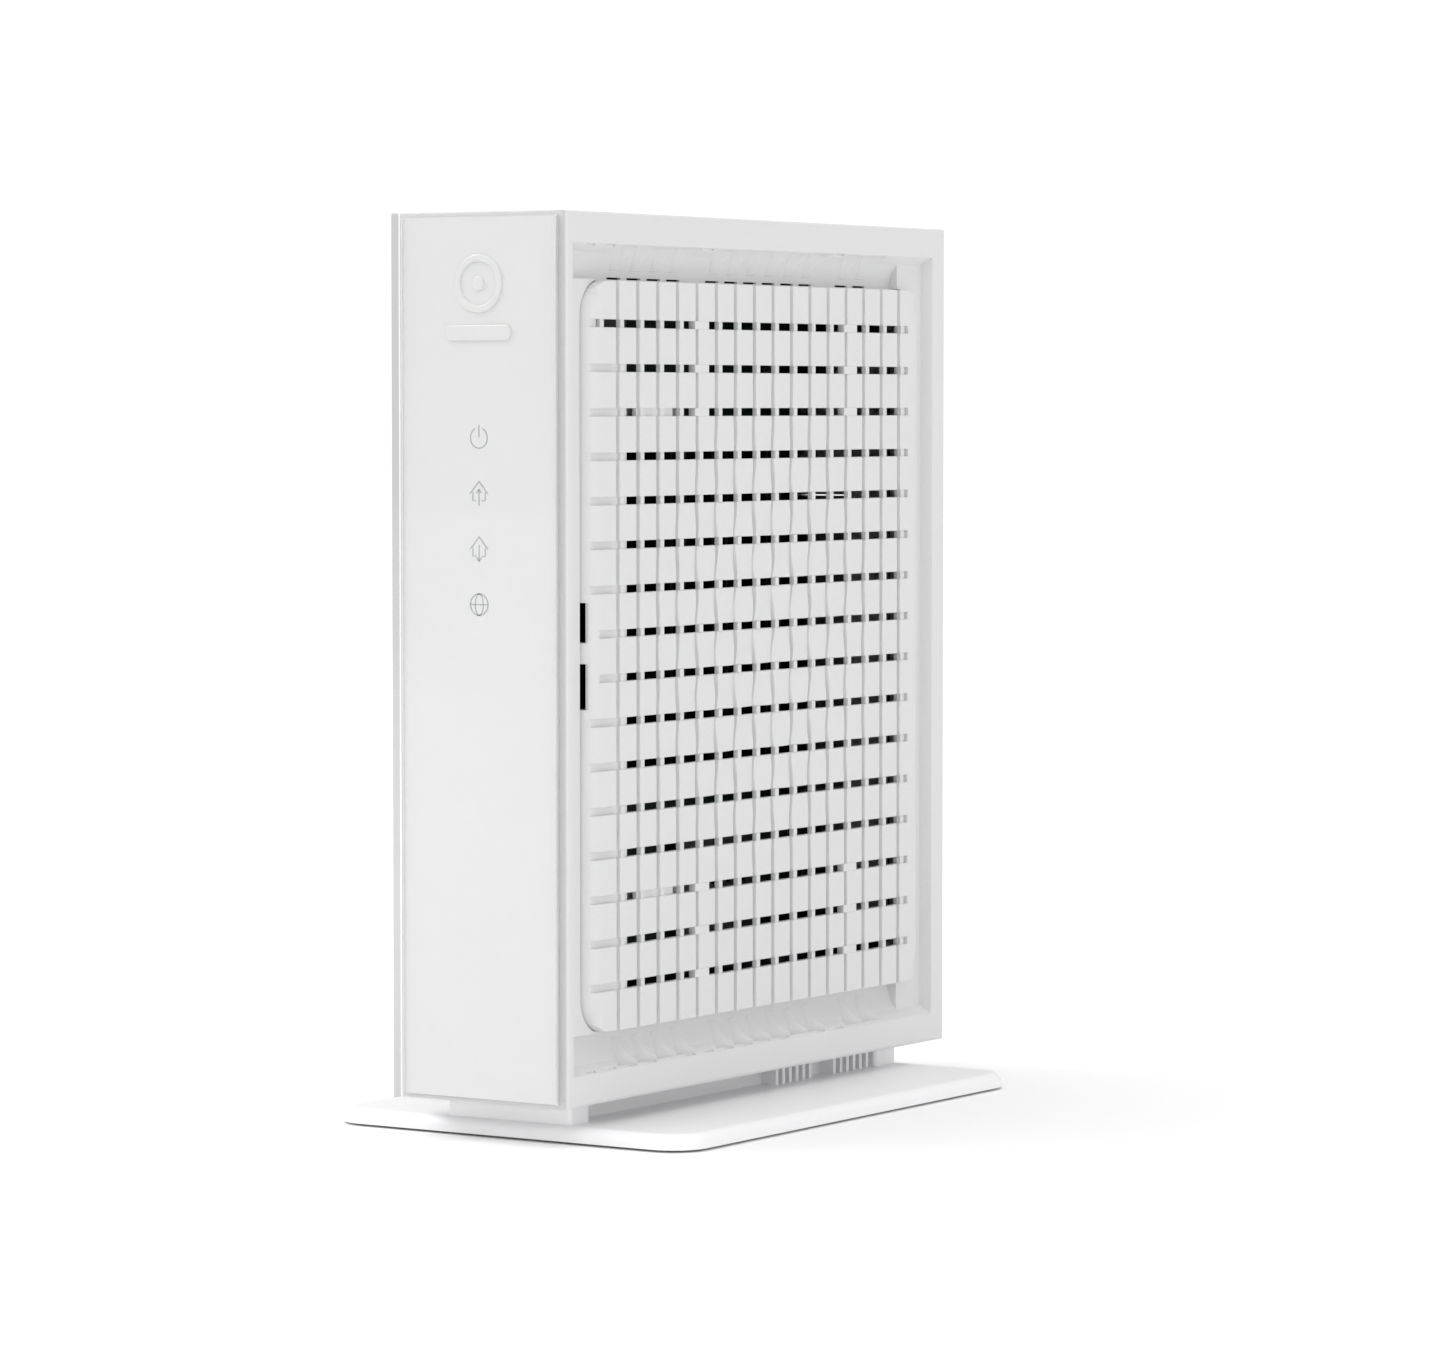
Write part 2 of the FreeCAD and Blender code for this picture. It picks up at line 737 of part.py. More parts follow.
def heatsink():
    y, z = soc_centre
    y0 = y - sink_depth / 2
    z0 = z - sink_height / 2
    parts = [box(sink_foot_x, sink_foot_x + sink_base, y0, y0 + sink_depth, z0, z0 + sink_height)]
    step = (sink_depth - sink_fin_thickness) / (sink_fin_count - 1)
    for index in range(sink_fin_count):
        fin_y = y0 + index * step
        parts.append(box(sink_foot_x, sink_foot_x + sink_base + sink_fin_height, fin_y,
                         fin_y + sink_fin_thickness, z0, z0 + sink_height))
    sink = join(parts)
    tools = []
    for py, pz in sink_screw_places():
        tools.append(rod(pcb_hole_radius, sink_base + 2 * past, (sink_foot_x - past, py, pz), (1, 0, 0)))
        tools.append(rod(screw_head_radius + sink_screw_clearance, sink_fin_height + past,
                         (sink_foot_x + sink_base, py, pz), (1, 0, 0)))
    return cut_all(sink, tools)


def heatsink_screws():
    length = sink_base + sink_foot_x - pcb_back_x + nut_height
    return [screw((sink_foot_x + sink_base, y, z), (-1, 0, 0), length) for y, z in sink_screw_places()]


def heatsink_nuts():
    nuts = []
    for y, z in sink_screw_places():
        nut = rod(nut_radius, nut_height, (pcb_back_x - nut_height, y, z), (1, 0, 0))
        hole = rod(thread_radius, nut_height + 2 * past, (pcb_back_x - nut_height - past, y, z),
                   (1, 0, 0))
        nuts.append(nut.cut(hole))
    return nuts


save("mainboard", mainboard())
save("board_screws", board_screws())
save("processor_chip", soc_chip())
save("thermal_pad", thermal_pad())
save("heatsink", heatsink())
save("heatsink_screws", heatsink_screws())
save("heatsink_nuts", heatsink_nuts())

# ---- shielded radio sections ------------------------------------------------------
wifi_size = (38.0, 22.0)   # along Y and Z
wifi_corner = (panel_y - 51.5, pcb_z1 - 28.0)
tuner_size = (34.0, 30.0)
tuner_corner = (panel_y + 10.5, pcb_z0 + 15.0)
wifi_chip_size = 10.0
tuner_chip_size = 8.0
radio_chip_height = 0.9
shield_height = 3.2
shield_sheet = 0.3
lid_lap = 0.15
lid_skirt = 1.6
lid_hole_radius = 0.8
lid_holes = (4, 3)


def area(corner, size):
    return (corner[0], corner[0] + size[0], corner[1], corner[1] + size[1])


wifi_box = area(wifi_corner, wifi_size)
tuner_box = area(tuner_corner, tuner_size)


def shield_frame(place):
    y0, y1, z0, z1 = place
    outer = on_board(shield_height, y0, y1, z0, z1)
    return outer.cut(on_board(shield_height + past, y0 + shield_sheet, y1 - shield_sheet,
                              z0 + shield_sheet, z1 - shield_sheet))


def shield_lid(place):
    y0, y1, z0, z1 = place
    out = lid_lap + shield_sheet
    top = pcb_face_x + shield_height
    lid = box(top - lid_skirt, top + shield_sheet, y0 - out, y1 + out, z0 - out, z1 + out)
    lid = lid.cut(box(top - lid_skirt - past, top, y0 - lid_lap, y1 + lid_lap, z0 - lid_lap,
                      z1 + lid_lap))
    holes = []
    for iy in range(lid_holes[0]):
        for iz in range(lid_holes[1]):
            y = y0 + (iy + 1) * (y1 - y0) / (lid_holes[0] + 1)
            z = z0 + (iz + 1) * (z1 - z0) / (lid_holes[1] + 1)
            holes.append(rod(lid_hole_radius, 2 * past, (top - past, y, z), (1, 0, 0)))
    return cut_all(lid, holes)


def chip_in(place, size, height):
    y = (place[0] + place[1]) / 2
    z = (place[2] + place[3]) / 2
    return on_board(height, y - size / 2, y + size / 2, z - size / 2, z + size / 2)


save("wifi_shield_frame", shield_frame(wifi_box))
save("wifi_shield_lid", shield_lid(wifi_box))
save("wifi_chip", chip_in(wifi_box, wifi_chip_size, radio_chip_height))
save("tuner_shield_frame", shield_frame(tuner_box))
save("tuner_shield_lid", shield_lid(tuner_box))
save("tuner_chip", chip_in(tuner_box, tuner_chip_size, radio_chip_height))

# ---- other parts soldered to the board -----------------------------------------------
chip_height = 1.2
memory_corner = (panel_y - 53.5, bottom_z + 91.0)
memory_size = (9.0, 12.0)  # along Y and Z
memory_pitch = 14.0
memory_count = 2
flash_corner = (panel_y - 53.5, bottom_z + 125.0)
flash_size = (12.0, 18.0)
can_radius = 4.0
can_height = 11.0
can_groove_depth = 0.3
can_groove_width = 0.6
can_groove_from_board = 1.6
can_pitch = 11.0
can_count = 3
can_from_screw = 17.4      # last can to the lower rear pillar
can_z = bottom_z + 19.0
coil_size = 9.0
coil_height = 4.5
coil_round = 1.4
coil_pitch = 12.0
coil_from_panel = 7.5      # first coil before the middle of the vent panel
coil_count = 2
coil_z = bottom_z + 23.0
led_gap = 0.1
led_size = (1.3, 1.3, 2.4) # height above the board, along Y, along Z
leaf_sheet = 0.4
leaf_length = 36.0
leaf_height = 12.5         # antenna's far edge above the board
leaf_from_board = 1.5
leaf_foot_width = 2.0
leaf_foot_places = (3.0, 9.0)
leaf_slit_start = 12.0
leaf_slit = (4.5, 8.0)     # slit edges above the board
upper_leaf = (panel_y - 5.5, pcb_z1 - 3.0)
lower_leaf = (panel_y - 57.5, pcb_z0 + 8.0)


def memory_chips():
    y, z = memory_corner
    deep, high = memory_size
    return [on_board(chip_height, y, y + deep, z + row * memory_pitch, z + row * memory_pitch + high)
            for row in range(memory_count)]


def flash_chip():
    y, z = flash_corner
    return on_board(chip_height, y, y + flash_size[0], z, z + flash_size[1])


def capacitors():
    cans = []
    for index in range(can_count):
        y = rear_screw_y - can_from_screw - index * can_pitch
        can = rod(can_radius, can_height, (pcb_face_x, y, can_z), (1, 0, 0))
        start = (pcb_face_x + can_groove_from_board, y, can_z)
        groove = rod(can_radius + past, can_groove_width, start, (1, 0, 0))
        groove = groove.cut(rod(can_radius - can_groove_depth, can_groove_width, start, (1, 0, 0)))
        cans.append(can.cut(groove))
    return cans


def power_coils():
    coils = []
    half = coil_size / 2
    for index in range(coil_count):
        y = panel_y - coil_from_panel + index * coil_pitch
        block = on_board(coil_height, y - half, y + half, coil_z - half, coil_z + half)
        coils.append(round_along(block, coil_round, 0))
    return coils


def indicator_leds():
    y0 = pcb_front_y + led_gap
    rise, deep, high = led_size
    return [on_board(rise, y0, y0 + deep, z - high / 2, z + high / 2) for z in indicator_places()]


def antenna(y0, z0):
    leaf = box(pcb_face_x + leaf_from_board, pcb_face_x + leaf_height, y0, y0 + leaf_length,
               z0, z0 + leaf_sheet)
    feet = [box(pcb_face_x, pcb_face_x + leaf_from_board + bite, y0 + start,
                y0 + start + leaf_foot_width, z0, z0 + leaf_sheet) for start in leaf_foot_places]
    slit = box(pcb_face_x + leaf_slit[0], pcb_face_x + leaf_slit[1], y0 + leaf_slit_start,
               y0 + leaf_length + past, z0 - past, z0 + past)
    return join([leaf] + feet).cut(slit)


save("memory_chips", memory_chips())
save("flash_chip", flash_chip())
save("capacitors", capacitors())
save("power_coils", power_coils())
save("indicator_leds", indicator_leds())
save("upper_antenna", antenna(*upper_leaf))
save("lower_antenna", antenna(*lower_leaf))

# ---- network sockets --------------------------------------------------------------------
jack_first_z = bottom_z + 71.0
jack_pitch = 18.5
jack_count = 4
jack_width = 16.0
jack_height = 13.4
jack_depth = 21.3
jack_sheet = 0.25
socket_half_width = 5.9
socket_floor = 2.8
socket_height = 6.9
socket_depth = 15.0
latch_half_width = 3.1
latch_height = 2.0
contact_pitch = 1.02
contact_width = 0.4
contact_thickness = 0.4
contact_count = 8
contact_end_gap = 4.0      # contacts end this far inside the mouth
jack_sunk = 0.1
jack_face_y = port_face_y - jack_sunk
transformer_gap = 3.0
transformer_size = (5.5, 9.0, 24.0)    # height above the board, along Y, along Z
transformer_count = 2


def jack_places():
    return [jack_first_z + index * jack_pitch for index in range(jack_count)]


def jack_shield(z):
    inner_y = jack_face_y - jack_depth + jack_sheet
    outer = on_board(jack_height, jack_face_y - jack_depth, jack_face_y, z - jack_width / 2,
                     z + jack_width / 2)
    inside = box(pcb_face_x - past, pcb_face_x + jack_height - jack_sheet, inner_y, jack_face_y + past,
                 z - jack_width / 2 + jack_sheet, z + jack_width / 2 - jack_sheet)
    return outer.cut(inside)


def jack_insert(z):
    half = jack_width / 2 - jack_sheet
    insert = on_board(jack_height - jack_sheet, jack_face_y - jack_depth + jack_sheet,
                      jack_face_y, z - half, z + half)
    floor = pcb_face_x + socket_floor
    mouth = box(floor, floor + socket_height, jack_face_y - socket_depth, jack_face_y + past,
                z - socket_half_width, z + socket_half_width)
    latch = box(floor, floor + socket_height + latch_height, jack_face_y - socket_depth,
                jack_face_y + past, z - latch_half_width, z + latch_half_width)
    return cut_all(insert, [mouth, latch])


def jack_contacts():
    contacts = []
    floor = pcb_face_x + socket_floor
    for z in jack_places():
        for index in range(contact_count):
            cz = z + (index - (contact_count - 1) / 2) * contact_pitch
            flat = box(floor, floor + contact_thickness, jack_face_y - socket_depth,
                       jack_face_y - contact_end_gap, cz - contact_width / 2, cz + contact_width / 2)
            contacts.append(flat)
    return contacts


def network_transformers():
    blocks = []
    back = jack_face_y - jack_depth - transformer_gap
    rise, deep, high = transformer_size
    for index in range(transformer_count):
        z = jack_first_z + (2 * index + 0.5) * jack_pitch
        blocks.append(on_board(rise, back - deep, back, z - high / 2, z + high / 2))
    return blocks


for number, place in enumerate(jack_places(), start=1):
    save("lan_socket_%d" % number, jack_insert(place))
    save("lan_socket_shield_%d" % number, jack_shield(place))
save("lan_socket_contacts", jack_contacts())
save("network_transformers", network_transformers())

# ---- cable and power inlets ---------------------------------------------------------------
coax_z = bottom_z + 49.0
coax_x = -3.4
coax_radius = 4.75
coax_neck_radius = 5.2
coax_neck_proud = 0.2
coax_bore = 3.6
coax_reach = 9.4
coax_block = 14.0
coax_block_depth = 10.0
coax_block_round = 1.0
coax_block_gap = 0.3       # block to the rear panel
coax_core_sunk = 3.0       # insulator's foot inside the block
coax_core_length = 10.0
coax_core_fit = 0.02
coax_pin_hole = 0.6
coax_pin_radius = 0.58
coax_pin_length = 8.0
coax_pin_bore = 0.35
coax_pin_bore_depth = 5.5
dc_z = bottom_z + 32.0
dc_width = 9.0
dc_height = 11.0
dc_depth = 14.2
dc_bore = 3.1
dc_bore_depth = 10.0
dc_pin_radius = 1.0
dc_pin_fit = 0.02
dc_pin_root = 2.8          # pin's foot behind the bottom of the bore
dc_centre_x = pcb_face_x + 6.5


def coax_socket():
    back = rear_panel_y - coax_block_gap
    block = box(pcb_face_x, pcb_face_x + coax_block, back - coax_block_depth, back,
                coax_z - coax_block / 2, coax_z + coax_block / 2)
    block = round_along(block, coax_block_round, 0)
    reach = port_face_y + coax_reach
    neck_end = port_face_y + coax_neck_proud
    foot = back - coax_core_sunk
    neck = rod(coax_neck_radius, neck_end - back + past, (coax_x, back - past, coax_z), (0, 1, 0))
    barrel = rod(coax_radius, reach - neck_end + past, (coax_x, neck_end - past, coax_z), (0, 1, 0))
    bore = rod(coax_bore, reach - foot + past, (coax_x, foot, coax_z), (0, 1, 0))
    return join([block, neck, barrel]).cut(bore)


def coax_insulator():
    start = rear_panel_y - coax_block_gap - coax_core_sunk
    plug = rod(coax_bore - coax_core_fit, coax_core_length, (coax_x, start, coax_z), (0, 1, 0))
    return plug.cut(rod(coax_pin_hole, coax_core_length + past, (coax_x, start, coax_z), (0, 1, 0)))


def coax_contact():
    start = rear_panel_y - coax_block_gap - coax_core_sunk
    tube = rod(coax_pin_radius, coax_pin_length, (coax_x, start, coax_z), (0, 1, 0))
    bore_start = start + coax_pin_length - coax_pin_bore_depth
    return tube.cut(rod(coax_pin_bore, coax_pin_bore_depth + past, (coax_x, bore_start, coax_z),
                        (0, 1, 0)))


def power_socket():
    half = dc_width / 2
    block = on_board(dc_height, jack_face_y - dc_depth, jack_face_y, dc_z - half, dc_z + half)
    bore = rod(dc_bore, dc_bore_depth, (dc_centre_x, jack_face_y, dc_z), (0, -1, 0))
    pin_hole = rod(dc_pin_radius, dc_pin_root + bite, (dc_centre_x, jack_face_y - dc_bore_depth, dc_z),
                   (0, -1, 0))
    return cut_all(block, [bore, pin_hole])


def power_pin():
    return rod(dc_pin_radius - dc_pin_fit, dc_bore_depth + 2 * past,
               (dc_centre_x, jack_face_y - dc_bore_depth - dc_pin_root, dc_z), (0, 1, 0))


save("coax_socket", coax_socket())
save("coax_insulator", coax_insulator())
save("coax_centre_contact", coax_contact())
save("power_socket", power_socket())
save("power_socket_pin", power_pin())

# ---- switches and buttons --------------------------------------------------------------------
reset_z = bottom_z + 151.0
pairing_z = bottom_z + 167.0
switch_x = pcb_face_x + 5.5
switch_half = 3.3
switch_body_depth = 3.8
switch_travel = 0.3
plunger_radius = 1.6
plunger_fit = 0.05
plunger_in = 1.4
plunger_out = 1.6
plunger_bottom_gap = 0.2
reset_hole_radius = 1.1
cap_radius = 3.4
cap_clearance = 0.25
cap_flange = 1.0
cap_flange_width = 1.2
cap_edge_round = 0.5
cap_proud = 0.8
cap_gap = 0.3


def plunger_end(gap_to_panel):
    return rear_panel_y - gap_to_panel


def switch_body(z, end_y):
    front = end_y - plunger_out
    body = box(pcb_face_x, switch_x + switch_half, front - switch_body_depth, front,
               z - switch_half, z + switch_half)
    bore = rod(plunger_radius + plunger_fit, plunger_in + switch_travel + plunger_bottom_gap,
               (switch_x, front, z), (0, -1, 0))
    return body.cut(bore)


def plunger(z, end_y):
    return rod(plunger_radius, plunger_out + plunger_in, (switch_x, end_y, z), (0, -1, 0))


def pairing_cap():
    back = plunger_end(cap_gap + cap_flange)
    flange = rod(cap_radius + cap_flange_width, cap_flange, (switch_x, back, pairing_z), (0, 1, 0))
    stem = rod(cap_radius, port_face_y + cap_proud - back, (switch_x, back, pairing_z), (0, 1, 0))
    cap = join([flange, stem])
    return round_face_rim(cap, cap_edge_round, 1, port_face_y + cap_proud)


save("reset_switch", switch_body(reset_z, plunger_end(cap_gap)))
save("reset_plunger", plunger(reset_z, plunger_end(cap_gap)))
save("pairing_switch", switch_body(pairing_z, plunger_end(cap_gap + cap_flange)))
save("pairing_plunger", plunger(pairing_z, plunger_end(cap_gap + cap_flange)))
save("pairing_button", pairing_cap())


# ---- rear panel ---------------------------------------------------------------------------------
def rear_panel():
    x = cavity_x - rear_panel_clearance
    panel = box(-x, x, rear_panel_y, port_face_y, inner_bottom_z + rear_panel_clearance,
                inner_top_z - rear_panel_clearance)
    back = rear_panel_y - past
    front = port_face_y + past
    tools = []
    low_x = pcb_face_x - port_clearance
    for z in jack_places():
        half = jack_width / 2 + port_clearance
        tools.append(box(low_x, pcb_face_x + jack_height + port_clearance, back, front,
                         z - half, z + half))
    half = dc_width / 2 + port_clearance
    tools.append(box(low_x, pcb_face_x + dc_height + port_clearance, back, front,
                     dc_z - half, dc_z + half))
    tools.append(rod(coax_neck_radius + port_clearance, front - back, (coax_x, back, coax_z), (0, 1, 0)))
    tools.append(rod(reset_hole_radius, front - back, (switch_x, back, reset_z), (0, 1, 0)))
    tools.append(rod(cap_radius + cap_clearance, front - back, (switch_x, back, pairing_z), (0, 1, 0)))
    for z in panel_screw_z:
        tools.append(rod(screw_clearance_radius, front - back, (0, back, z), (0, 1, 0)))
    return cut_all(panel, tools)


def rear_panel_screws():
    length = rear_panel_thickness + ledge_depth - past
    return [screw((0, port_face_y, z), (0, -1, 0), length) for z in panel_screw_z]


save("rear_panel", rear_panel())
save("rear_panel_screws", rear_panel_screws())
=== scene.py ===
import json
import math
import bmesh
import bpy
from mathutils import Euler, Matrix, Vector


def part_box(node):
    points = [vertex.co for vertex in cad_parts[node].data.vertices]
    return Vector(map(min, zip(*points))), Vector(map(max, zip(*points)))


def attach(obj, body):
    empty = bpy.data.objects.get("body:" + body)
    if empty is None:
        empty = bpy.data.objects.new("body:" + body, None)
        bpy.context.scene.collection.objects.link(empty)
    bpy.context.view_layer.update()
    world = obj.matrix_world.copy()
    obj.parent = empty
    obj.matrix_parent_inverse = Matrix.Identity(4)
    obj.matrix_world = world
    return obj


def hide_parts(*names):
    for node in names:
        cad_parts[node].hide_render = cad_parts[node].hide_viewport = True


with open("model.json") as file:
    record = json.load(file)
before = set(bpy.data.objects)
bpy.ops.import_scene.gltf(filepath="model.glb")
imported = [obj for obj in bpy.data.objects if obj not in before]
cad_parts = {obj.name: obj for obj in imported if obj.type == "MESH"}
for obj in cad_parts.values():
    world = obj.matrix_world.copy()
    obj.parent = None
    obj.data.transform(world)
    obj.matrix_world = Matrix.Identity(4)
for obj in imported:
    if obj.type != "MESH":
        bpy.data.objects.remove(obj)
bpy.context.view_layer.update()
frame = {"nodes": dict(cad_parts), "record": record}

mm = 0.001


def toLinear(hexColour):
    # an sRGB hex colour as linear light, with alpha
    channels = []
    for start in (1, 3, 5):
        value = int(hexColour[start:start + 2], 16) / 255
        if value <= 0.04045:
            channels.append(value / 12.92)
        else:
            channels.append(((value + 0.055) / 1.055) ** 2.4)
    return (channels[0], channels[1], channels[2], 1.0)


def addNode(tree, kind, settings=None, links=None):
    # a setting or a link goes to the input of that name or number, any other setting to the node itself
    node = tree.nodes.new(kind)
    for name, value in (settings or {}).items():
        if isinstance(name, int) or name in node.inputs:
            node.inputs[name].default_value = value
        else:
            setattr(node, name, value)
    for name, source in (links or {}).items():
        tree.links.new(source, node.inputs[name])
    return node


def newMaterial(name):
    material = bpy.data.materials.new(name)
    material.use_nodes = True
    material.node_tree.nodes.clear()
    return material, material.node_tree


def perMetre(sizeMm):
    # noise scale for a pattern whose grains are this many millimetres
    return 1 / (sizeMm * mm)


def meshPiece(name, bm, smoothAngle=None):
    bmesh.ops.recalc_face_normals(bm, faces=bm.faces)
    mesh = bpy.data.meshes.new(name)
    bm.to_mesh(mesh)
    bm.free()
    if smoothAngle is not None:
        for polygon in mesh.polygons:
            polygon.use_smooth = True
        mesh.set_sharp_from_angle(angle=math.radians(smoothAngle))
    piece = bpy.data.objects.new(name, mesh)
    bpy.context.scene.collection.objects.link(piece)
    return piece


def moulded(name, look):
    # one moulded, cast, plated or painted finish, from its own dictionary
    material, tree = newMaterial(name)
    place = addNode(tree, "ShaderNodeTexCoord").outputs["Object"]
    stretch = addNode(tree, "ShaderNodeMapping", {"Scale": look.get("stretch", (1, 1, 1))},
                      {"Vector": place}).outputs["Vector"]
    cloud = addNode(tree, "ShaderNodeTexNoise",
                    {"Scale": perMetre(look["cloudMm"]), "Detail": 3.0, "Roughness": 0.55},
                    {"Vector": place})
    grain = addNode(tree, "ShaderNodeTexNoise",
                    {"Scale": perMetre(look["grainMm"]), "Detail": 2.0, "Roughness": 0.6},
                    {"Vector": stretch})
    tint = addNode(tree, "ShaderNodeMixRGB",
                   {"Color1": toLinear(look["colour"]), "Color2": toLinear(look["drift"])},
                   {"Fac": cloud.outputs["Fac"]})
    speck = addNode(tree, "ShaderNodeMixRGB",
                    {"blend_type": "MULTIPLY", "Color2": toLinear(look.get("speck", "#f4f4f4"))},
                    {"Color1": tint.outputs["Color"], "Fac": grain.outputs["Fac"]})
    rough = addNode(tree, "ShaderNodeMapRange",
                    {"From Min": 0.3, "From Max": 0.7, "To Min": look["roughness"][0],
                     "To Max": look["roughness"][1]},
                    {"Value": grain.outputs["Fac"]})
    bump = addNode(tree, "ShaderNodeBump",
                   {"Strength": look.get("bump", 0.3), "Distance": look["grainMm"] * mm * 0.2},
                   {"Height": grain.outputs["Fac"]})
    shader = addNode(tree, "ShaderNodeBsdfPrincipled",
                     {"Metallic": look.get("metallic", 0.0), "IOR": look.get("ior", 1.5),
                      "Subsurface Weight": look.get("scatter", 0.0),
                      "Subsurface Scale": look.get("scatterMm", 1.0) * mm,
                      "Anisotropic": look.get("anisotropic", 0.0)},
                     {"Base Color": speck.outputs["Color"], "Roughness": rough.outputs["Result"],
                      "Normal": bump.outputs["Normal"]})
    addNode(tree, "ShaderNodeOutputMaterial", None, {"Surface": shader.outputs["BSDF"]})
    return material


# ABS moulded in a finely spark-eroded tool: an even satin white with the faintest mottle
mouldedAbsLook = {"colour": "#e1e1e1", "drift": "#dfdfe0", "speck": "#f7f7f7", "cloudMm": 40.0,
                  "grainMm": 0.45, "roughness": (0.42, 0.56), "bump": 0.16, "ior": 1.54}
# the real spark texture is about 0.1 mm, drawn at 0.45 mm so that it shows

# the same ABS in a polished tool, smoother, for the flat stand; drawn brighter than the shells as painted
# light on the stand's lit top
polishedAbsWithPaintedLightLook = {"colour": "#fafafb", "drift": "#f8f8f9", "speck": "#fcfcfc", "cloudMm": 60.0,
                   "grainMm": 0.6, "roughness": (0.30, 0.40), "bump": 0.08, "ior": 1.54}

# ABS with a coarser tool texture, for the panel that holds the sockets
texturedAbsLook = {"colour": "#e2e2e3", "drift": "#dddddf", "speck": "#f0f0f0", "cloudMm": 30.0,
                   "grainMm": 0.5, "roughness": (0.5, 0.65), "bump": 0.3, "ior": 1.54}

# white ABS moulding behind the clear front: glossy and clean
glossAbsLook = {"colour": "#e3e4e3", "drift": "#e1e2e1", "speck": "#fbfbfb", "cloudMm": 80.0,
                "grainMm": 1.2, "roughness": (0.16, 0.22), "bump": 0.03, "ior": 1.54}

# moulded rubber: dark, dull, slightly dusty
mouldedRubberLook = {"colour": "#262626", "drift": "#303030", "speck": "#dddddd", "cloudMm": 4.0,
                     "grainMm": 0.3, "roughness": (0.75, 0.9), "bump": 0.4, "ior": 1.52}

# bright zinc plating on steel: cool grey with a fine crystalline mottle
zincPlatedSteelLook = {"colour": "#b9bcc0", "drift": "#a9adb3", "speck": "#e2e2e2", "cloudMm": 1.5,
                       "grainMm": 0.15, "roughness": (0.25, 0.4), "bump": 0.2, "metallic": 1.0}

# tin plated sheet, rolled: soft grey with drawn-out streaks
rolledTinplateLook = {"colour": "#9a9b9a", "drift": "#8b8d8d", "speck": "#d4d4d4", "cloudMm": 5.0,
                      "grainMm": 0.2, "stretch": (1.0, 0.08, 1.0), "roughness": (0.28, 0.42),
                      "bump": 0.15, "metallic": 1.0, "anisotropic": 0.4}

# moulded chip epoxy: matt near-black with a fine sandy surface
mouldedEpoxyLook = {"colour": "#1d1e20", "drift": "#26272a", "speck": "#d8d8d8", "cloudMm": 3.0,
                    "grainMm": 0.2, "roughness": (0.55, 0.7), "bump": 0.35, "ior": 1.55}

# glass-filled nylon: black with a dry sheen, for sockets and switches
mouldedNylonLook = {"colour": "#1a1b1c", "drift": "#232425", "speck": "#d4d4d4", "cloudMm": 5.0,
                    "grainMm": 0.35, "roughness": (0.42, 0.6), "bump": 0.25, "ior": 1.53}

# soft silicone gap pad: flat grey, slightly greasy
castSiliconeLook = {"colour": "#8b8f95", "drift": "#7f8389", "speck": "#e6e6e6", "cloudMm": 6.0,
                    "grainMm": 0.4, "roughness": (0.5, 0.65), "bump": 0.3, "ior": 1.41}

# black anodised aluminium extrusion: dark satin with lines along the fins
anodisedAluminiumLook = {"colour": "#2b2c2f", "drift": "#222326", "speck": "#cfcfcf", "cloudMm": 12.0,
                         "grainMm": 0.25, "stretch": (1.0, 1.0, 0.05), "roughness": (0.35, 0.5),
                         "bump": 0.2, "metallic": 0.9}

# drawn aluminium can in a clear sleeve: bright, a little cloudy
drawnAluminiumLook = {"colour": "#b4b9c2", "drift": "#a3a9b3", "speck": "#e4e4e4", "cloudMm": 3.0,
                      "grainMm": 0.2, "stretch": (0.1, 1.0, 1.0), "roughness": (0.28, 0.4),
                      "bump": 0.12, "metallic": 1.0}

# cast lamp resin: creamy and a little translucent
castResinLook = {"colour": "#f1edd2", "drift": "#e9e2bd", "speck": "#f4f4f4", "cloudMm": 1.0,
                 "grainMm": 0.1, "roughness": (0.2, 0.3), "bump": 0.05, "ior": 1.52,
                 "scatter": 0.3, "scatterMm": 0.5}

# gold plated contact springs: warm and polished
goldPlateLook = {"colour": "#e4bf68", "drift": "#d8ae55", "speck": "#ececec", "cloudMm": 0.8,
                 "grainMm": 0.08, "roughness": (0.18, 0.28), "bump": 0.1, "metallic": 1.0}

# nickel plated brass, turned: bright with fine rings
turnedNickelLook = {"colour": "#c9c6bf", "drift": "#bab6ae", "speck": "#e0e0e0", "cloudMm": 2.0,
                    "grainMm": 0.12, "stretch": (0.2, 1.0, 0.2), "roughness": (0.2, 0.32),
                    "bump": 0.15, "metallic": 1.0}

# turned PTFE: waxy white
turnedPtfeLook = {"colour": "#ededea", "drift": "#e4e4e0", "speck": "#f2f2f2", "cloudMm": 1.5,
                  "grainMm": 0.15, "roughness": (0.35, 0.45), "bump": 0.15, "ior": 1.36,
                  "scatter": 0.2, "scatterMm": 1.0}

# screen printed grey ink: flat and slightly open at its edges
printedInkLook = {"colour": "#adb0b3", "drift": "#b6b8bb", "speck": "#e8e8e8", "cloudMm": 1.2,
                  "grainMm": 0.1, "roughness": (0.45, 0.6), "bump": 0.1, "ior": 1.5}


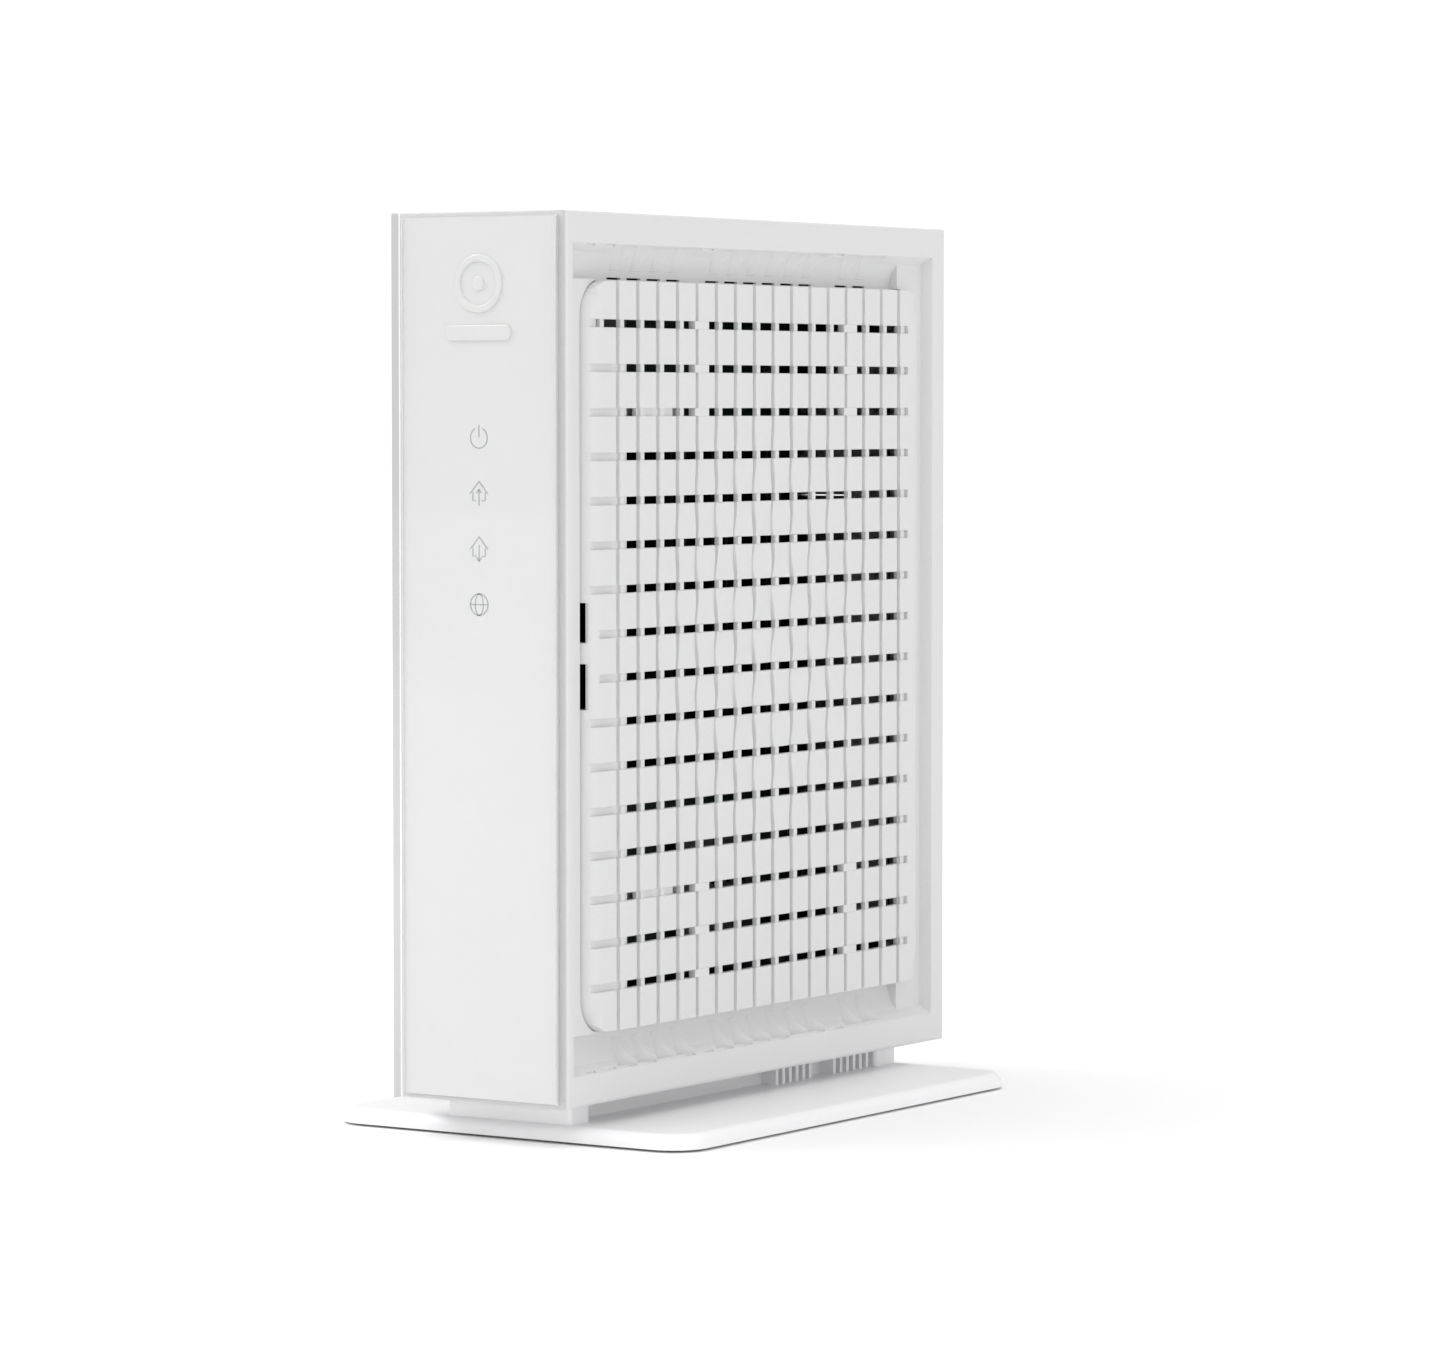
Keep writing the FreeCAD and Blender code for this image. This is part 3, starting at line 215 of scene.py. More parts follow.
def absWithPaintedInnerShade(name, look, innerShade):
    # the shells: white ABS outside, and inside a box round the cavity a dark grey painted shade, so the
    # slots read dark
    material = moulded(name, look)
    tree = material.node_tree
    shader = next(node for node in tree.nodes if node.type == "BSDF_PRINCIPLED")
    outside = shader.inputs["Base Color"].links[0].from_socket
    place = addNode(tree, "ShaderNodeTexCoord").outputs["Object"]
    mottle = addNode(tree, "ShaderNodeTexNoise", {"Scale": perMetre(innerShade["cloudMm"]), "Detail": 4.0},
                     {"Vector": place})
    inside = addNode(tree, "ShaderNodeMixRGB",
                     {"Color1": toLinear(innerShade["colour"]), "Color2": toLinear(innerShade["drift"])},
                     {"Fac": mottle.outputs["Fac"]})
    axes = addNode(tree, "ShaderNodeSeparateXYZ", None, {"Vector": place})
    sides = []
    for axis, low, high in zip("XYZ", innerShade["low"], innerShade["high"]):
        for operation, edge in (("GREATER_THAN", low), ("LESS_THAN", high)):
            side = addNode(tree, "ShaderNodeMath", {"operation": operation, 1: edge},
                           {0: axes.outputs[axis]})
            sides.append(side.outputs["Value"])
    within = sides[0]
    for side in sides[1:]:
        both = addNode(tree, "ShaderNodeMath", {"operation": "MULTIPLY"}, {0: within, 1: side})
        within = both.outputs["Value"]
    # painted shade: inside the box the shells' colour turns dark grey
    colour = addNode(tree, "ShaderNodeMixRGB", None,
                     {"Fac": within, "Color1": outside, "Color2": inside.outputs["Color"]})
    tree.links.new(colour.outputs["Color"], shader.inputs["Base Color"])
    return material


def castAcrylic(name, look):
    # clear acrylic as a thin sheet: what is behind shows straight through, with a polished reflection
    material, tree = newMaterial(name)
    place = addNode(tree, "ShaderNodeTexCoord").outputs["Object"]
    haze = addNode(tree, "ShaderNodeTexNoise", {"Scale": perMetre(look["cloudMm"]), "Detail": 3.0},
                   {"Vector": place})
    tint = addNode(tree, "ShaderNodeMixRGB",
                   {"Color1": toLinear(look["colour"]), "Color2": toLinear(look["drift"])},
                   {"Fac": haze.outputs["Fac"]})
    rough = addNode(tree, "ShaderNodeMapRange",
                    {"To Min": look["roughness"][0], "To Max": look["roughness"][1]},
                    {"Value": haze.outputs["Fac"]})
    face = addNode(tree, "ShaderNodeNewGeometry")
    normal = addNode(tree, "ShaderNodeSeparateXYZ", None, {"Vector": face.outputs["True Normal"]})
    across = addNode(tree, "ShaderNodeMath", {"operation": "ABSOLUTE"}, {0: normal.outputs["X"]})
    side = addNode(tree, "ShaderNodeMath", {"operation": "GREATER_THAN", 1: look["sideFrom"]},
                   {0: across.outputs["Value"]})
    # painted shade: what is seen out through a side edge is tinted grey, and light on its way in isn't
    leavingShadeMask = addNode(tree, "ShaderNodeMath", {"operation": "MULTIPLY"},
                      {0: side.outputs["Value"], 1: face.outputs["Backfacing"]})
    path = addNode(tree, "ShaderNodeLightPath")
    edgePaintedShade = addNode(tree, "ShaderNodeMixRGB",
                       {"Color1": toLinear(look["edge"]), "Color2": toLinear(look["colour"])},
                       {"Fac": path.outputs["Is Shadow Ray"]})
    sheet = addNode(tree, "ShaderNodeMixRGB", None,
                    {"Fac": leavingShadeMask.outputs["Value"], "Color1": tint.outputs["Color"],
                     "Color2": edgePaintedShade.outputs["Color"]})
    clear = addNode(tree, "ShaderNodeBsdfTransparent", None, {"Color": sheet.outputs["Color"]})
    # only the front is polished enough to mirror the room, and only from outside
    gloss = addNode(tree, "ShaderNodeBsdfGlossy", None, {"Roughness": rough.outputs["Result"]})
    glance = addNode(tree, "ShaderNodeFresnel", {"IOR": look["ior"]})
    front = addNode(tree, "ShaderNodeMath", {"operation": "LESS_THAN", 1: look["frontFrom"]},
                    {0: normal.outputs["Y"]})
    polish = addNode(tree, "ShaderNodeMixRGB", {"Color1": (0, 0, 0, 1)},
                     {"Fac": front.outputs["Value"], "Color2": glance.outputs["Fac"]})
    share = addNode(tree, "ShaderNodeMixRGB", {"Color2": (0, 0, 0, 1)},
                    {"Fac": face.outputs["Backfacing"], "Color1": polish.outputs["Color"]})
    glassy = addNode(tree, "ShaderNodeMixShader", None,
                     {"Fac": share.outputs["Color"], 1: clear.outputs["BSDF"], 2: gloss.outputs["BSDF"]})
    # painted light: the pocket's side walls are drawn frosted white, standing in for light the acrylic
    # carries, so they look lit instead of showing the shaded gap behind
    spot = addNode(tree, "ShaderNodeSeparateXYZ", None, {"Vector": place})
    reach = addNode(tree, "ShaderNodeMath", {"operation": "ABSOLUTE"}, {0: spot.outputs["X"]})
    within = addNode(tree, "ShaderNodeMath", {"operation": "LESS_THAN", 1: look["pocketHalf"]},
                     {0: reach.outputs["Value"]})
    wall = addNode(tree, "ShaderNodeMath", {"operation": "MULTIPLY"},
                   {0: side.outputs["Value"], 1: within.outputs["Value"]})
    lit = addNode(tree, "ShaderNodeBsdfDiffuse", {"Color": toLinear(look["pipedLightFrost"])})
    through = addNode(tree, "ShaderNodeBsdfTranslucent", {"Color": toLinear(look["pipedLightFrost"])})
    pipedLightFrost = addNode(tree, "ShaderNodeMixShader", {"Fac": look["pipedLightThrough"]},
                    {1: lit.outputs["BSDF"], 2: through.outputs["BSDF"]})
    whole = addNode(tree, "ShaderNodeMixShader", None,
                    {"Fac": wall.outputs["Value"], 1: glassy.outputs["Shader"],
                     2: pipedLightFrost.outputs["Shader"]})
    addNode(tree, "ShaderNodeOutputMaterial", None, {"Surface": whole.outputs["Shader"]})
    return material


# acrylic, polished: water-clear with a wet gloss
# pocketHalf takes in the pocket's side walls, 1.9 mm in from the lens's sides
# edge is the grey of the painted shade seen out through the side edges; pipedLightFrost is the white
# painted light on the pocket walls
castAcrylicLook = {"colour": "#fdfdfd", "drift": "#fcfcfc", "edge": "#cecece", "pipedLightFrost": "#f4f4f4",
                   "pipedLightThrough": 0.35, "cloudMm": 30.0, "roughness": (0.02, 0.05), "ior": 1.49,
                   "sideFrom": 0.5, "frontFrom": -0.3,
                   "pocketHalf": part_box("front_lens")[1].x - 1.6 * mm}


def solderMask(name, look):
    # glass-epoxy board under green solder mask, with copper tracks that show as lighter bands
    material, tree = newMaterial(name)
    place = addNode(tree, "ShaderNodeTexCoord").outputs["Object"]
    cloud = addNode(tree, "ShaderNodeTexNoise", {"Scale": perMetre(look["cloudMm"]), "Detail": 3.0},
                    {"Vector": place})
    flat = addNode(tree, "ShaderNodeMapping", {"Scale": (0.0, 1.0, 1.0)}, {"Vector": place})
    tracks = addNode(tree, "ShaderNodeTexBrick",
                     {"Scale": perMetre(look["trackMm"]) * 0.5, "Mortar Size": look["trackWidth"],
                      "Color1": (0, 0, 0, 1), "Color2": (0, 0, 0, 1), "Mortar": (1, 1, 1, 1)},
                     {"Vector": flat.outputs["Vector"]})
    ground = addNode(tree, "ShaderNodeMixRGB",
                     {"Color1": toLinear(look["colour"]), "Color2": toLinear(look["drift"])},
                     {"Fac": cloud.outputs["Fac"]})
    colour = addNode(tree, "ShaderNodeMixRGB", {"Color2": toLinear(look["track"])},
                     {"Fac": tracks.outputs["Color"], "Color1": ground.outputs["Color"]})
    weave = addNode(tree, "ShaderNodeTexNoise", {"Scale": perMetre(look["grainMm"]), "Detail": 2.0},
                    {"Vector": place})
    rough = addNode(tree, "ShaderNodeMapRange",
                    {"To Min": look["roughness"][0], "To Max": look["roughness"][1]},
                    {"Value": weave.outputs["Fac"]})
    bump = addNode(tree, "ShaderNodeBump", {"Strength": look["bump"], "Distance": look["trackRise"] * mm},
                   {"Height": tracks.outputs["Color"]})
    shader = addNode(tree, "ShaderNodeBsdfPrincipled", {"IOR": look["ior"]},
                     {"Base Color": colour.outputs["Color"], "Roughness": rough.outputs["Result"],
                      "Normal": bump.outputs["Normal"]})
    addNode(tree, "ShaderNodeOutputMaterial", None, {"Surface": shader.outputs["BSDF"]})
    return material


# solder mask, curtain coated and cured: deep green, glossy, tracks a shade lighter
curedSolderMaskLook = {"colour": "#14291f", "drift": "#102219", "track": "#1d3f2d", "cloudMm": 14.0,
                       "trackMm": 2.2, "trackWidth": 0.07, "trackRise": 0.05, "grainMm": 0.4,
                       "roughness": (0.25, 0.4), "bump": 0.2, "ior": 1.55}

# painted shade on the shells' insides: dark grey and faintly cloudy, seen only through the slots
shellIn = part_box("rear_panel")
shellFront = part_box("right_shell")[0]
innerShadePast = 0.5 * mm  # past the rear panel's outline, into the shells' walls, and short of its rear face
innerShadeStart = 1.0 * mm  # behind the shells' front edges
paintedInnerShadeLook = {"colour": "#26272a", "drift": "#2e2f32", "cloudMm": 8.0,
                  "low": (shellIn[0].x - innerShadePast, shellFront.y + innerShadeStart, shellIn[0].z - innerShadePast),
                  "high": (shellIn[1].x + innerShadePast, shellIn[1].y - innerShadePast, shellIn[1].z + innerShadePast)}

finishes = {
    "white_abs": absWithPaintedInnerShade("mouldedAbs", mouldedAbsLook, paintedInnerShadeLook),
    "vent_abs": moulded("mouldedAbsVent", mouldedAbsLook),
    "stand_abs": moulded("polishedAbs", polishedAbsWithPaintedLightLook),
    "rear_abs": moulded("texturedAbs", texturedAbsLook),
    "gloss_white": moulded("glossAbs", glossAbsLook),
    "clear_acrylic": castAcrylic("castAcrylic", castAcrylicLook),
    "foot_rubber": moulded("mouldedRubber", mouldedRubberLook),
    "zinc_steel": moulded("zincPlatedSteel", zincPlatedSteelLook),
    "tinned_steel": moulded("rolledTinplate", rolledTinplateLook),
    "green_laminate": solderMask("curedSolderMask", curedSolderMaskLook),
    "black_epoxy": moulded("mouldedEpoxy", mouldedEpoxyLook),
    "black_nylon": moulded("mouldedNylon", mouldedNylonLook),
    "grey_silicone": moulded("castSilicone", castSiliconeLook),
    "black_anodised": moulded("anodisedAluminium", anodisedAluminiumLook),
    "capacitor_can": moulded("drawnAluminium", drawnAluminiumLook),
    "led_resin": moulded("castResin", castResinLook),
    "gold_plate": moulded("goldPlate", goldPlateLook),
    "nickel_brass": moulded("turnedNickel", turnedNickelLook),
    "white_ptfe": moulded("turnedPtfe", turnedPtfeLook),
}
printedInk = moulded("printedInk", printedInkLook)

for part in frame["record"]["subparts"]:
    cadNode = frame["nodes"][part["node"]]
    cadNode.data.materials.clear()
    cadNode.data.materials.append(finishes[part["material_slot"]])
# the clear front drawn a hair smaller, so that its back and the shells' fronts don't share a plane
lensEase = 0.03 * mm
easeLens = frame["nodes"]["front_lens"].modifiers.new("ease", "DISPLACE")
easeLens.mid_level = 0.0
easeLens.strength = -lensEase


# the vent panel in millimetres; the windows are measured from the underside of the body
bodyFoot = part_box("right_shell")[0].z / mm
vent = {
    "grooves": 16, "groovePitch": 8.108, "grooveWidth": 1.4, "grooveDepth": 1.2,
    "slots": 16, "slotPitch": 9.951, "slotHeight": 1.8, "slotLift": 0.25,
    "slotStart": -2.6, "slotEnd": -2.8, "squareRows": (7, 8),
    "frontRound": 4.0, "roundSteps": 6, "cornerRound": 8.0, "cornerSteps": 6,
    "edge": 0.18, "skin": 1.9, "wall": 2.0, "edgeSkin": 0.9, "leastSkin": 0.1, "leastWall": 0.001,
    "lineGap": 0.06,
    "webWidth": 1.5, "webOffset": 2.2, "webSunk": 0.4, "webDepth": 1.6, "afterWeb": 2.1,
    "blindFront": 12.2, "blindRear": 6.0, "blindSunk": 1.1, "blindSkin": 1.1,
    "bridgeGrooves": (4, 12), "bridgeRows": (0, 1, 2, 13, 14, 15), "bridgeOffset": 2.1,
    "bridgeLength": 5.8, "bridgeSunk": 0.12,
    "closedRows": (2, 13), "closedGrooves": (1, 3),
    "waveHeight": 0.88, "waveRise": 0.1, "wavePitch": 16.35, "waveSlope": 1.275, "waveStart": -0.42,
    "waveReach": (53.0, 59.5), "waveLift": 3.1, "waveFade": 2.3, "waveLines": (2, 3, 4, 5, 6, 7, 8),
    "windows": [(bodyFoot + 88.7, bodyFoot + 99.0), (bodyFoot + 103.7, bodyFoot + 112.7)],
    "windowReach": 2.7, "windowMargin": 2.0, "smoothAngle": 28,
}


def thinned(values, gap, start, end):
    # the values in order, none closer than the gap, with the two ends exact
    kept = []
    for value in sorted(values):
        if start - 1e-6 <= value <= end + 1e-6 and (not kept or value - kept[-1] > gap):
            kept.append(value)
    kept[0] = start
    kept[-1] = end
    return kept


def ventColumns(v, low, high, grooves):
    # the Y lines that cut the panel into cells
    half = v["grooveWidth"] / 2
    webHalf = v["webWidth"] / 2
    ys = [low[1], high[1], low[1] + v["wall"], high[1] - v["wall"], low[1] + v["edge"], high[1] - v["edge"]]
    for step in range(v["roundSteps"] + 1):
        turn = math.pi / 2 * step / v["roundSteps"]
        reach = v["frontRound"] * (1 - math.sin(turn))
        ys += [low[1] + reach, high[1] - reach]
    ahead = grooves[0] - v["groovePitch"] + v["webOffset"]
    ys += [ahead - webHalf, ahead + webHalf]
    for y in grooves:
        web = y + v["webOffset"]
        ys += [y - half - v["edge"], y - half, y + half, y + half + v["edge"]]
        ys += [web - webHalf, web + webHalf, web + webHalf + v["afterWeb"]]
    faceStart = low[1] + v["frontRound"]
    faceEnd = high[1] - v["frontRound"]
    ys += [faceStart + v["slotStart"], faceStart + v["blindFront"]]
    ys += [faceEnd - v["blindRear"], faceEnd + v["slotEnd"]]
    for index in v["bridgeGrooves"]:
        start = grooves[index] + v["bridgeOffset"] - v["bridgeLength"] / 2
        ys += [start, start + v["bridgeLength"]]
    return thinned(ys, v["lineGap"], low[1], high[1])


def ventLevels(v, low, high, rows):
    # the Z lines that cut the panel into cells
    half = v["slotHeight"] / 2
    zs = [low[2], high[2], low[2] + v["wall"], high[2] - v["wall"], low[2] + v["edge"], high[2] - v["edge"]]
    for step in range(1, v["cornerSteps"] + 1):
        rise = v["cornerRound"] * step / v["cornerSteps"]
        zs += [low[2] + rise, high[2] - rise]
    for z in rows:
        zs += [z - half - v["edge"], z - half, z + half, z + half + v["edge"]]
        if z != rows[0]:
            zs += [z + v["slotPitch"] * tenth / 10 for tenth in v["waveLines"]]
    for start, end in v["windows"]:
        zs += [start, end]
    return thinned(zs, v["lineGap"], low[2], high[2])


def slotCell(v, row, y, face, faceStart, faceEnd, inBlind, grooves, back):
    # the cell of a slot at this Y: a bridge, a web, a blind floor, or None where it is open
    if row in v["bridgeRows"]:
        for index in v["bridgeGrooves"]:
            if abs(y - grooves[index] - v["bridgeOffset"]) < v["bridgeLength"] / 2:
                return "bridge", v["bridgeSunk"], back
    webStarts = grooves if row else [grooves[0] - v["groovePitch"]] + grooves
    if any(abs(y - g - v["webOffset"]) < v["webWidth"] / 2 for g in webStarts):
        return "web", v["webSunk"], face - v["webDepth"]
    first, last = v["closedGrooves"]
    closed = row in v["closedRows"] and grooves[first] < y < grooves[last]
    openFront = row == 0 and faceStart < y < faceStart + v["blindFront"]
    if closed or (inBlind and not openFront):
        return "blind", v["blindSunk"], face - v["blindSunk"] - v["blindSkin"]
    return None


def ventCell(v, y, z, low, high, grooves, rows):
    # (kind, depth below the face, back level) of the cell round this point, or None where it is open
    face = high[0]
    faceStart = low[1] + v["frontRound"]
    faceEnd = high[1] - v["frontRound"]
    rim = min(y - low[1], high[1] - y, z - low[2], high[2] - z) < v["wall"]
    inWindow = any(start < z < end for start, end in v["windows"])
    nearWindow = inWindow and y < faceStart + v["windowMargin"]
    back = low[0] if rim and not nearWindow else face - v["skin"]
    inBlind = y < faceStart + v["blindFront"] or y > faceEnd - v["blindRear"]
    if not rim and inBlind and not nearWindow:
        back = min(back, face - v["blindSunk"] - v["blindSkin"])
    for row, rowZ in enumerate(rows):
        start = faceStart + (0 if row in v["squareRows"] else v["slotStart"])
        if abs(z - rowZ) < v["slotHeight"] / 2 and start < y < faceEnd + v["slotEnd"]:
            return slotCell(v, row, y, face, faceStart, faceEnd, inBlind, grooves, back)
    if any(abs(y - g) < v["grooveWidth"] / 2 for g in grooves):
        return "groove", v["grooveDepth"], back
    return "block", 0.0, back


def faceLevel(v, y, low, high):
    # the panel's front level, rounded off along its two upright edges
    radius = v["frontRound"]
    over = max(low[1] + radius - y, y - high[1] + radius, 0)
    return high[0] - radius + math.sqrt(max(radius * radius - over * over, 0.0))


def wave(v, y, z, low, high):
    # the shallow relief of slanting swells across the middle of the panel
    y -= (low[1] + high[1]) / 2
    z -= (low[2] + high[2]) / 2
    away = math.hypot(y / v["waveReach"][0], (z - v["waveLift"]) / v["waveReach"][1])
    strength = max(0.0, 1 - away ** v["waveFade"])
    turn = 2 * math.pi * (z - v["waveSlope"] * y - v["waveStart"]) / v["wavePitch"]
    return strength * (v["waveRise"] + v["waveHeight"] * (math.cos(turn) - 1) / 2)


def roundCorner(v, y, z, low, high):
    # bends the square corners of the outline onto arcs
    radius = v["cornerRound"]
    over = max(low[1] + radius - y, y - high[1] + radius, 0)
    up = max(low[2] + radius - z, z - high[2] + radius, 0)
    if over <= 0 or up <= 0:
        return y, z
    share = max(over, up) / math.hypot(over, up)
    y += (over - over * share) * (1 if y < (low[1] + high[1]) / 2 else -1)
    z += (up - up * share) * (1 if z < (low[2] + high[2]) / 2 else -1)
    return y, z


def ventGrid(v, node, side):
    # the filled cells of one panel, with everything that its faces are made from
    low, high = [[corner[axis] / mm for axis in range(3)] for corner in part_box(node)]
    if side < 0:
        low[0], high[0] = -high[0], -low[0]
    middle = (low[1] + high[1]) / 2
    centre = (low[2] + high[2]) / 2 + v["slotLift"]
    grooves = [middle + (i - (v["grooves"] - 1) / 2) * v["groovePitch"] for i in range(v["grooves"])]
    rows = [centre + ((v["slots"] - 1) / 2 - i) * v["slotPitch"] for i in range(v["slots"])]
    ys = ventColumns(v, low, high, grooves)
    zs = ventLevels(v, low, high, rows)
    cells = {}
    for i in range(len(ys) - 1):
        y = (ys[i] + ys[i + 1]) / 2
        nearFront = ys[i] < low[1] + v["frontRound"]
        lowFace = nearFront and faceLevel(v, y, low, high) < low[0] + v["windowReach"]
        for j in range(len(zs) - 1):
            z = (zs[j] + zs[j + 1]) / 2
            cell = ventCell(v, y, z, low, high, grooves, rows)
            inWindow = any(start < z < end for start, end in v["windows"])
            if cell and not (inWindow and lowFace):
                cells[i, j] = cell
    return {"v": v, "side": side, "low": low, "high": high, "ys": ys, "zs": zs, "cells": cells,
            "levels": {}, "verts": {}, "bm": bmesh.new()}


def frontAt(grid, cell, corner):
    # the front level of a cell at one of its grid corners
    v = grid["v"]
    low = grid["low"]
    high = grid["high"]
    y = grid["ys"][corner[0]]
    z = grid["zs"][corner[1]]
    kind, sunk, _ = grid["cells"][cell]
    level = faceLevel(v, y, low, high)
    if kind == "blind":
        return round(min(level, high[0] - sunk), 3)
    level -= sunk
    if kind == "block":
        level += wave(v, y, z, low, high)
        around = [grid["cells"].get((corner[0] - a, corner[1] - b)) for a in (0, 1) for b in (0, 1)]
        if any(not other or other[0] != "block" for other in around):
            level -= v["edge"]  # the small bevel round every block
    return round(max(level, low[0] + v["leastSkin"]), 3)


def backAt(grid, cell, corner):
    v = grid["v"]
    face = faceLevel(v, grid["ys"][corner[0]], grid["low"], grid["high"])
    return round(max(min(grid["cells"][cell][2], face - v["edgeSkin"]), grid["low"][0]), 3)


def addFace(grid, ring):
    # a face through (column, row, level) corners, leaving out corners that fall together
    seen = []
    for column, row, level in ring:
        key = (column, row, round(level, 3))
        if key not in grid["verts"]:
            y, z = roundCorner(grid["v"], grid["ys"][column], grid["zs"][row], grid["low"], grid["high"])
            grid["verts"][key] = grid["bm"].verts.new((grid["side"] * level * mm, y * mm, z * mm))
        vert = grid["verts"][key]
        if not seen or vert is not seen[-1]:
            seen.append(vert)
    if seen[0] is seen[-1]:
        seen.pop()
    if len(seen) < 3 or len(set(seen)) < len(seen) or grid["bm"].faces.get(seen):
        return
    grid["bm"].faces.new(seen)


def rise(grid, corner, start, end):
    # every level on one upright line from start to end, so that neighbouring faces meet
    between = [level for level in grid["levels"][corner] if min(start, end) < level < max(start, end)]
    between.sort(reverse=start > end)
    return [(corner[0], corner[1], level) for level in [start] + between + [end]]


def addWall(grid, corners, lows, highs):
    # a wall between two grid corners, from the low level to the high level at each
    least = grid["v"]["leastWall"]
    if highs[0] - lows[0] < least and highs[1] - lows[1] < least:
        return
    addFace(grid, rise(grid, corners[0], lows[0], highs[0]) + rise(grid, corners[1], highs[1], lows[1]))


def ventPanel(name, node, side):
    grid = ventGrid(vent, node, side)
    for i, j in grid["cells"]:
        for corner in ((i, j), (i, j + 1), (i + 1, j), (i + 1, j + 1)):
            levels = grid["levels"].setdefault(corner, set())
            levels.add(frontAt(grid, (i, j), corner))
            levels.add(backAt(grid, (i, j), corner))
    for i, j in grid["cells"]:
        ring = [(i, j), (i + 1, j), (i + 1, j + 1), (i, j + 1)]
        addFace(grid, [(*corner, frontAt(grid, (i, j), corner)) for corner in ring])
        ring = [(i, j), (i, j + 1), (i + 1, j + 1), (i + 1, j)]
        addFace(grid, [(*corner, backAt(grid, (i, j), corner)) for corner in ring])
        for other, corners in (((i + 1, j), ((i + 1, j), (i + 1, j + 1))),
                               ((i, j + 1), ((i, j + 1), (i + 1, j + 1))),
                               ((i - 1, j), ((i, j), (i, j + 1))),
                               ((i, j - 1), ((i, j), (i + 1, j)))):
            fronts = [frontAt(grid, (i, j), corner) for corner in corners]
            backs = [backAt(grid, (i, j), corner) for corner in corners]
            if other not in grid["cells"]:
                addWall(grid, corners, backs, fronts)
                continue
            otherFronts = [frontAt(grid, other, corner) for corner in corners]
            otherBacks = [backAt(grid, other, corner) for corner in corners]
            if fronts[0] > otherFronts[0] or fronts[1] > otherFronts[1]:
                addWall(grid, corners, otherFronts, fronts)
            if backs[0] < otherBacks[0] or backs[1] < otherBacks[1]:
                addWall(grid, corners, backs, otherBacks)
    piece = meshPiece(name, grid["bm"], vent["smoothAngle"])
    piece.data.materials.append(finishes["vent_abs"])
    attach(piece, "housing")
    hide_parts(node)
    return piece


rightVent = ventPanel("rightVentGrille", "right_vent_panel", 1)
ventPanel("leftVentGrille", "left_vent_panel", -1)
print("vent panels", len(rightVent.data.polygons), "faces each")


# the printed marks in millimetres
marks = {
    "stroke": 0.27, "fineStroke": 0.216, "thick": 0.04, "printDepth": 1.005,
    "lampHalf": 1.2, "places": 8,
    "ringRadius": 2.3, "ringTurn": (115, 425), "ringSteps": 40, "barFoot": 0.1, "barRise": 0.6,
    "houseWidth": 4.9, "houseHeight": 5.4, "eaves": 0.3, "eavesDrop": 0.35, "wallInset": 0.75,
    "wallFoot": 1.1, "arrowTop": 0.9, "arrowHead": (0.7, 0.8),
    "globeRadius": 2.4, "globeSquash": 0.45, "globeTurn": (0, 354), "globeSteps": 47,
}


def addStroke(bm, points, width, y, thick, closed=False):
    # a flat stroke of even width along points in the X-Z plane
    count = len(points)
    rings = []
    for index, point in enumerate(points):
        before = points[index - 1] if index > 0 or closed else point
        after = points[(index + 1) % count] if index < count - 1 or closed else point
        run = Vector((after[0] - before[0], after[1] - before[1])).normalized()
        stretch = 1.0
        if closed or index not in (0, count - 1):
            first = Vector((point[0] - before[0], point[1] - before[1])).normalized()
            stretch = 1 / max(abs(run.dot(first)), 0.5)  # keeps the width through a corner
        half = Vector((-run.y, run.x)) * width / 2 * stretch
        left = (point[0] + half.x, point[1] + half.y)
        right = (point[0] - half.x, point[1] - half.y)
        corners = ((left, y), (right, y), (right, y - thick), (left, y - thick))
        rings.append([bm.verts.new((side[0] * mm, depth * mm, side[1] * mm)) for side, depth in corners])
    for index in range(count if closed else count - 1):
        here = rings[index]
        there = rings[(index + 1) % count]
        for k in range(4):
            bm.faces.new((here[k], there[k], there[(k + 1) % 4], here[(k + 1) % 4]))
    if not closed:
        bm.faces.new(rings[0])
        bm.faces.new(list(reversed(rings[-1])))


def arcPoints(cx, cz, radius, span, steps, squash=1.0):
    start, end = span
    points = []
    for step in range(steps + 1):
        turn = math.radians(start + (end - start) * step / steps)
        points.append((cx + radius * squash * math.cos(turn), cz + radius * math.sin(turn)))
    return points


def addHouse(bm, m, z, y, way):
    # one direction of the cable link: a house with an arrow in (way 1) or out (way -1)
    half = m["houseWidth"] / 2
    foot = z - m["houseHeight"] / 2
    eaves = z + m["eaves"]
    drop = eaves - m["eavesDrop"]
    addStroke(bm, [(-half, drop), (0, z + m["houseHeight"] / 2), (half, drop)], m["stroke"], y, m["thick"])
    for side in (-1, 1):
        wall = side * (half - m["wallInset"])
        sill = foot + m["wallFoot"]
        addStroke(bm, [(wall, eaves), (wall, sill), (side * m["wallInset"], sill)], m["stroke"], y,
                  m["thick"])
    top = z + m["arrowTop"]
    tip, tail = (top, foot) if way > 0 else (foot, top)
    across, back = m["arrowHead"]
    addStroke(bm, [(0, tail), (0, tip)], m["stroke"], y, m["thick"])
    addStroke(bm, [(-across, tip - back * way), (0, tip), (across, tip - back * way)], m["stroke"], y,
              m["thick"])


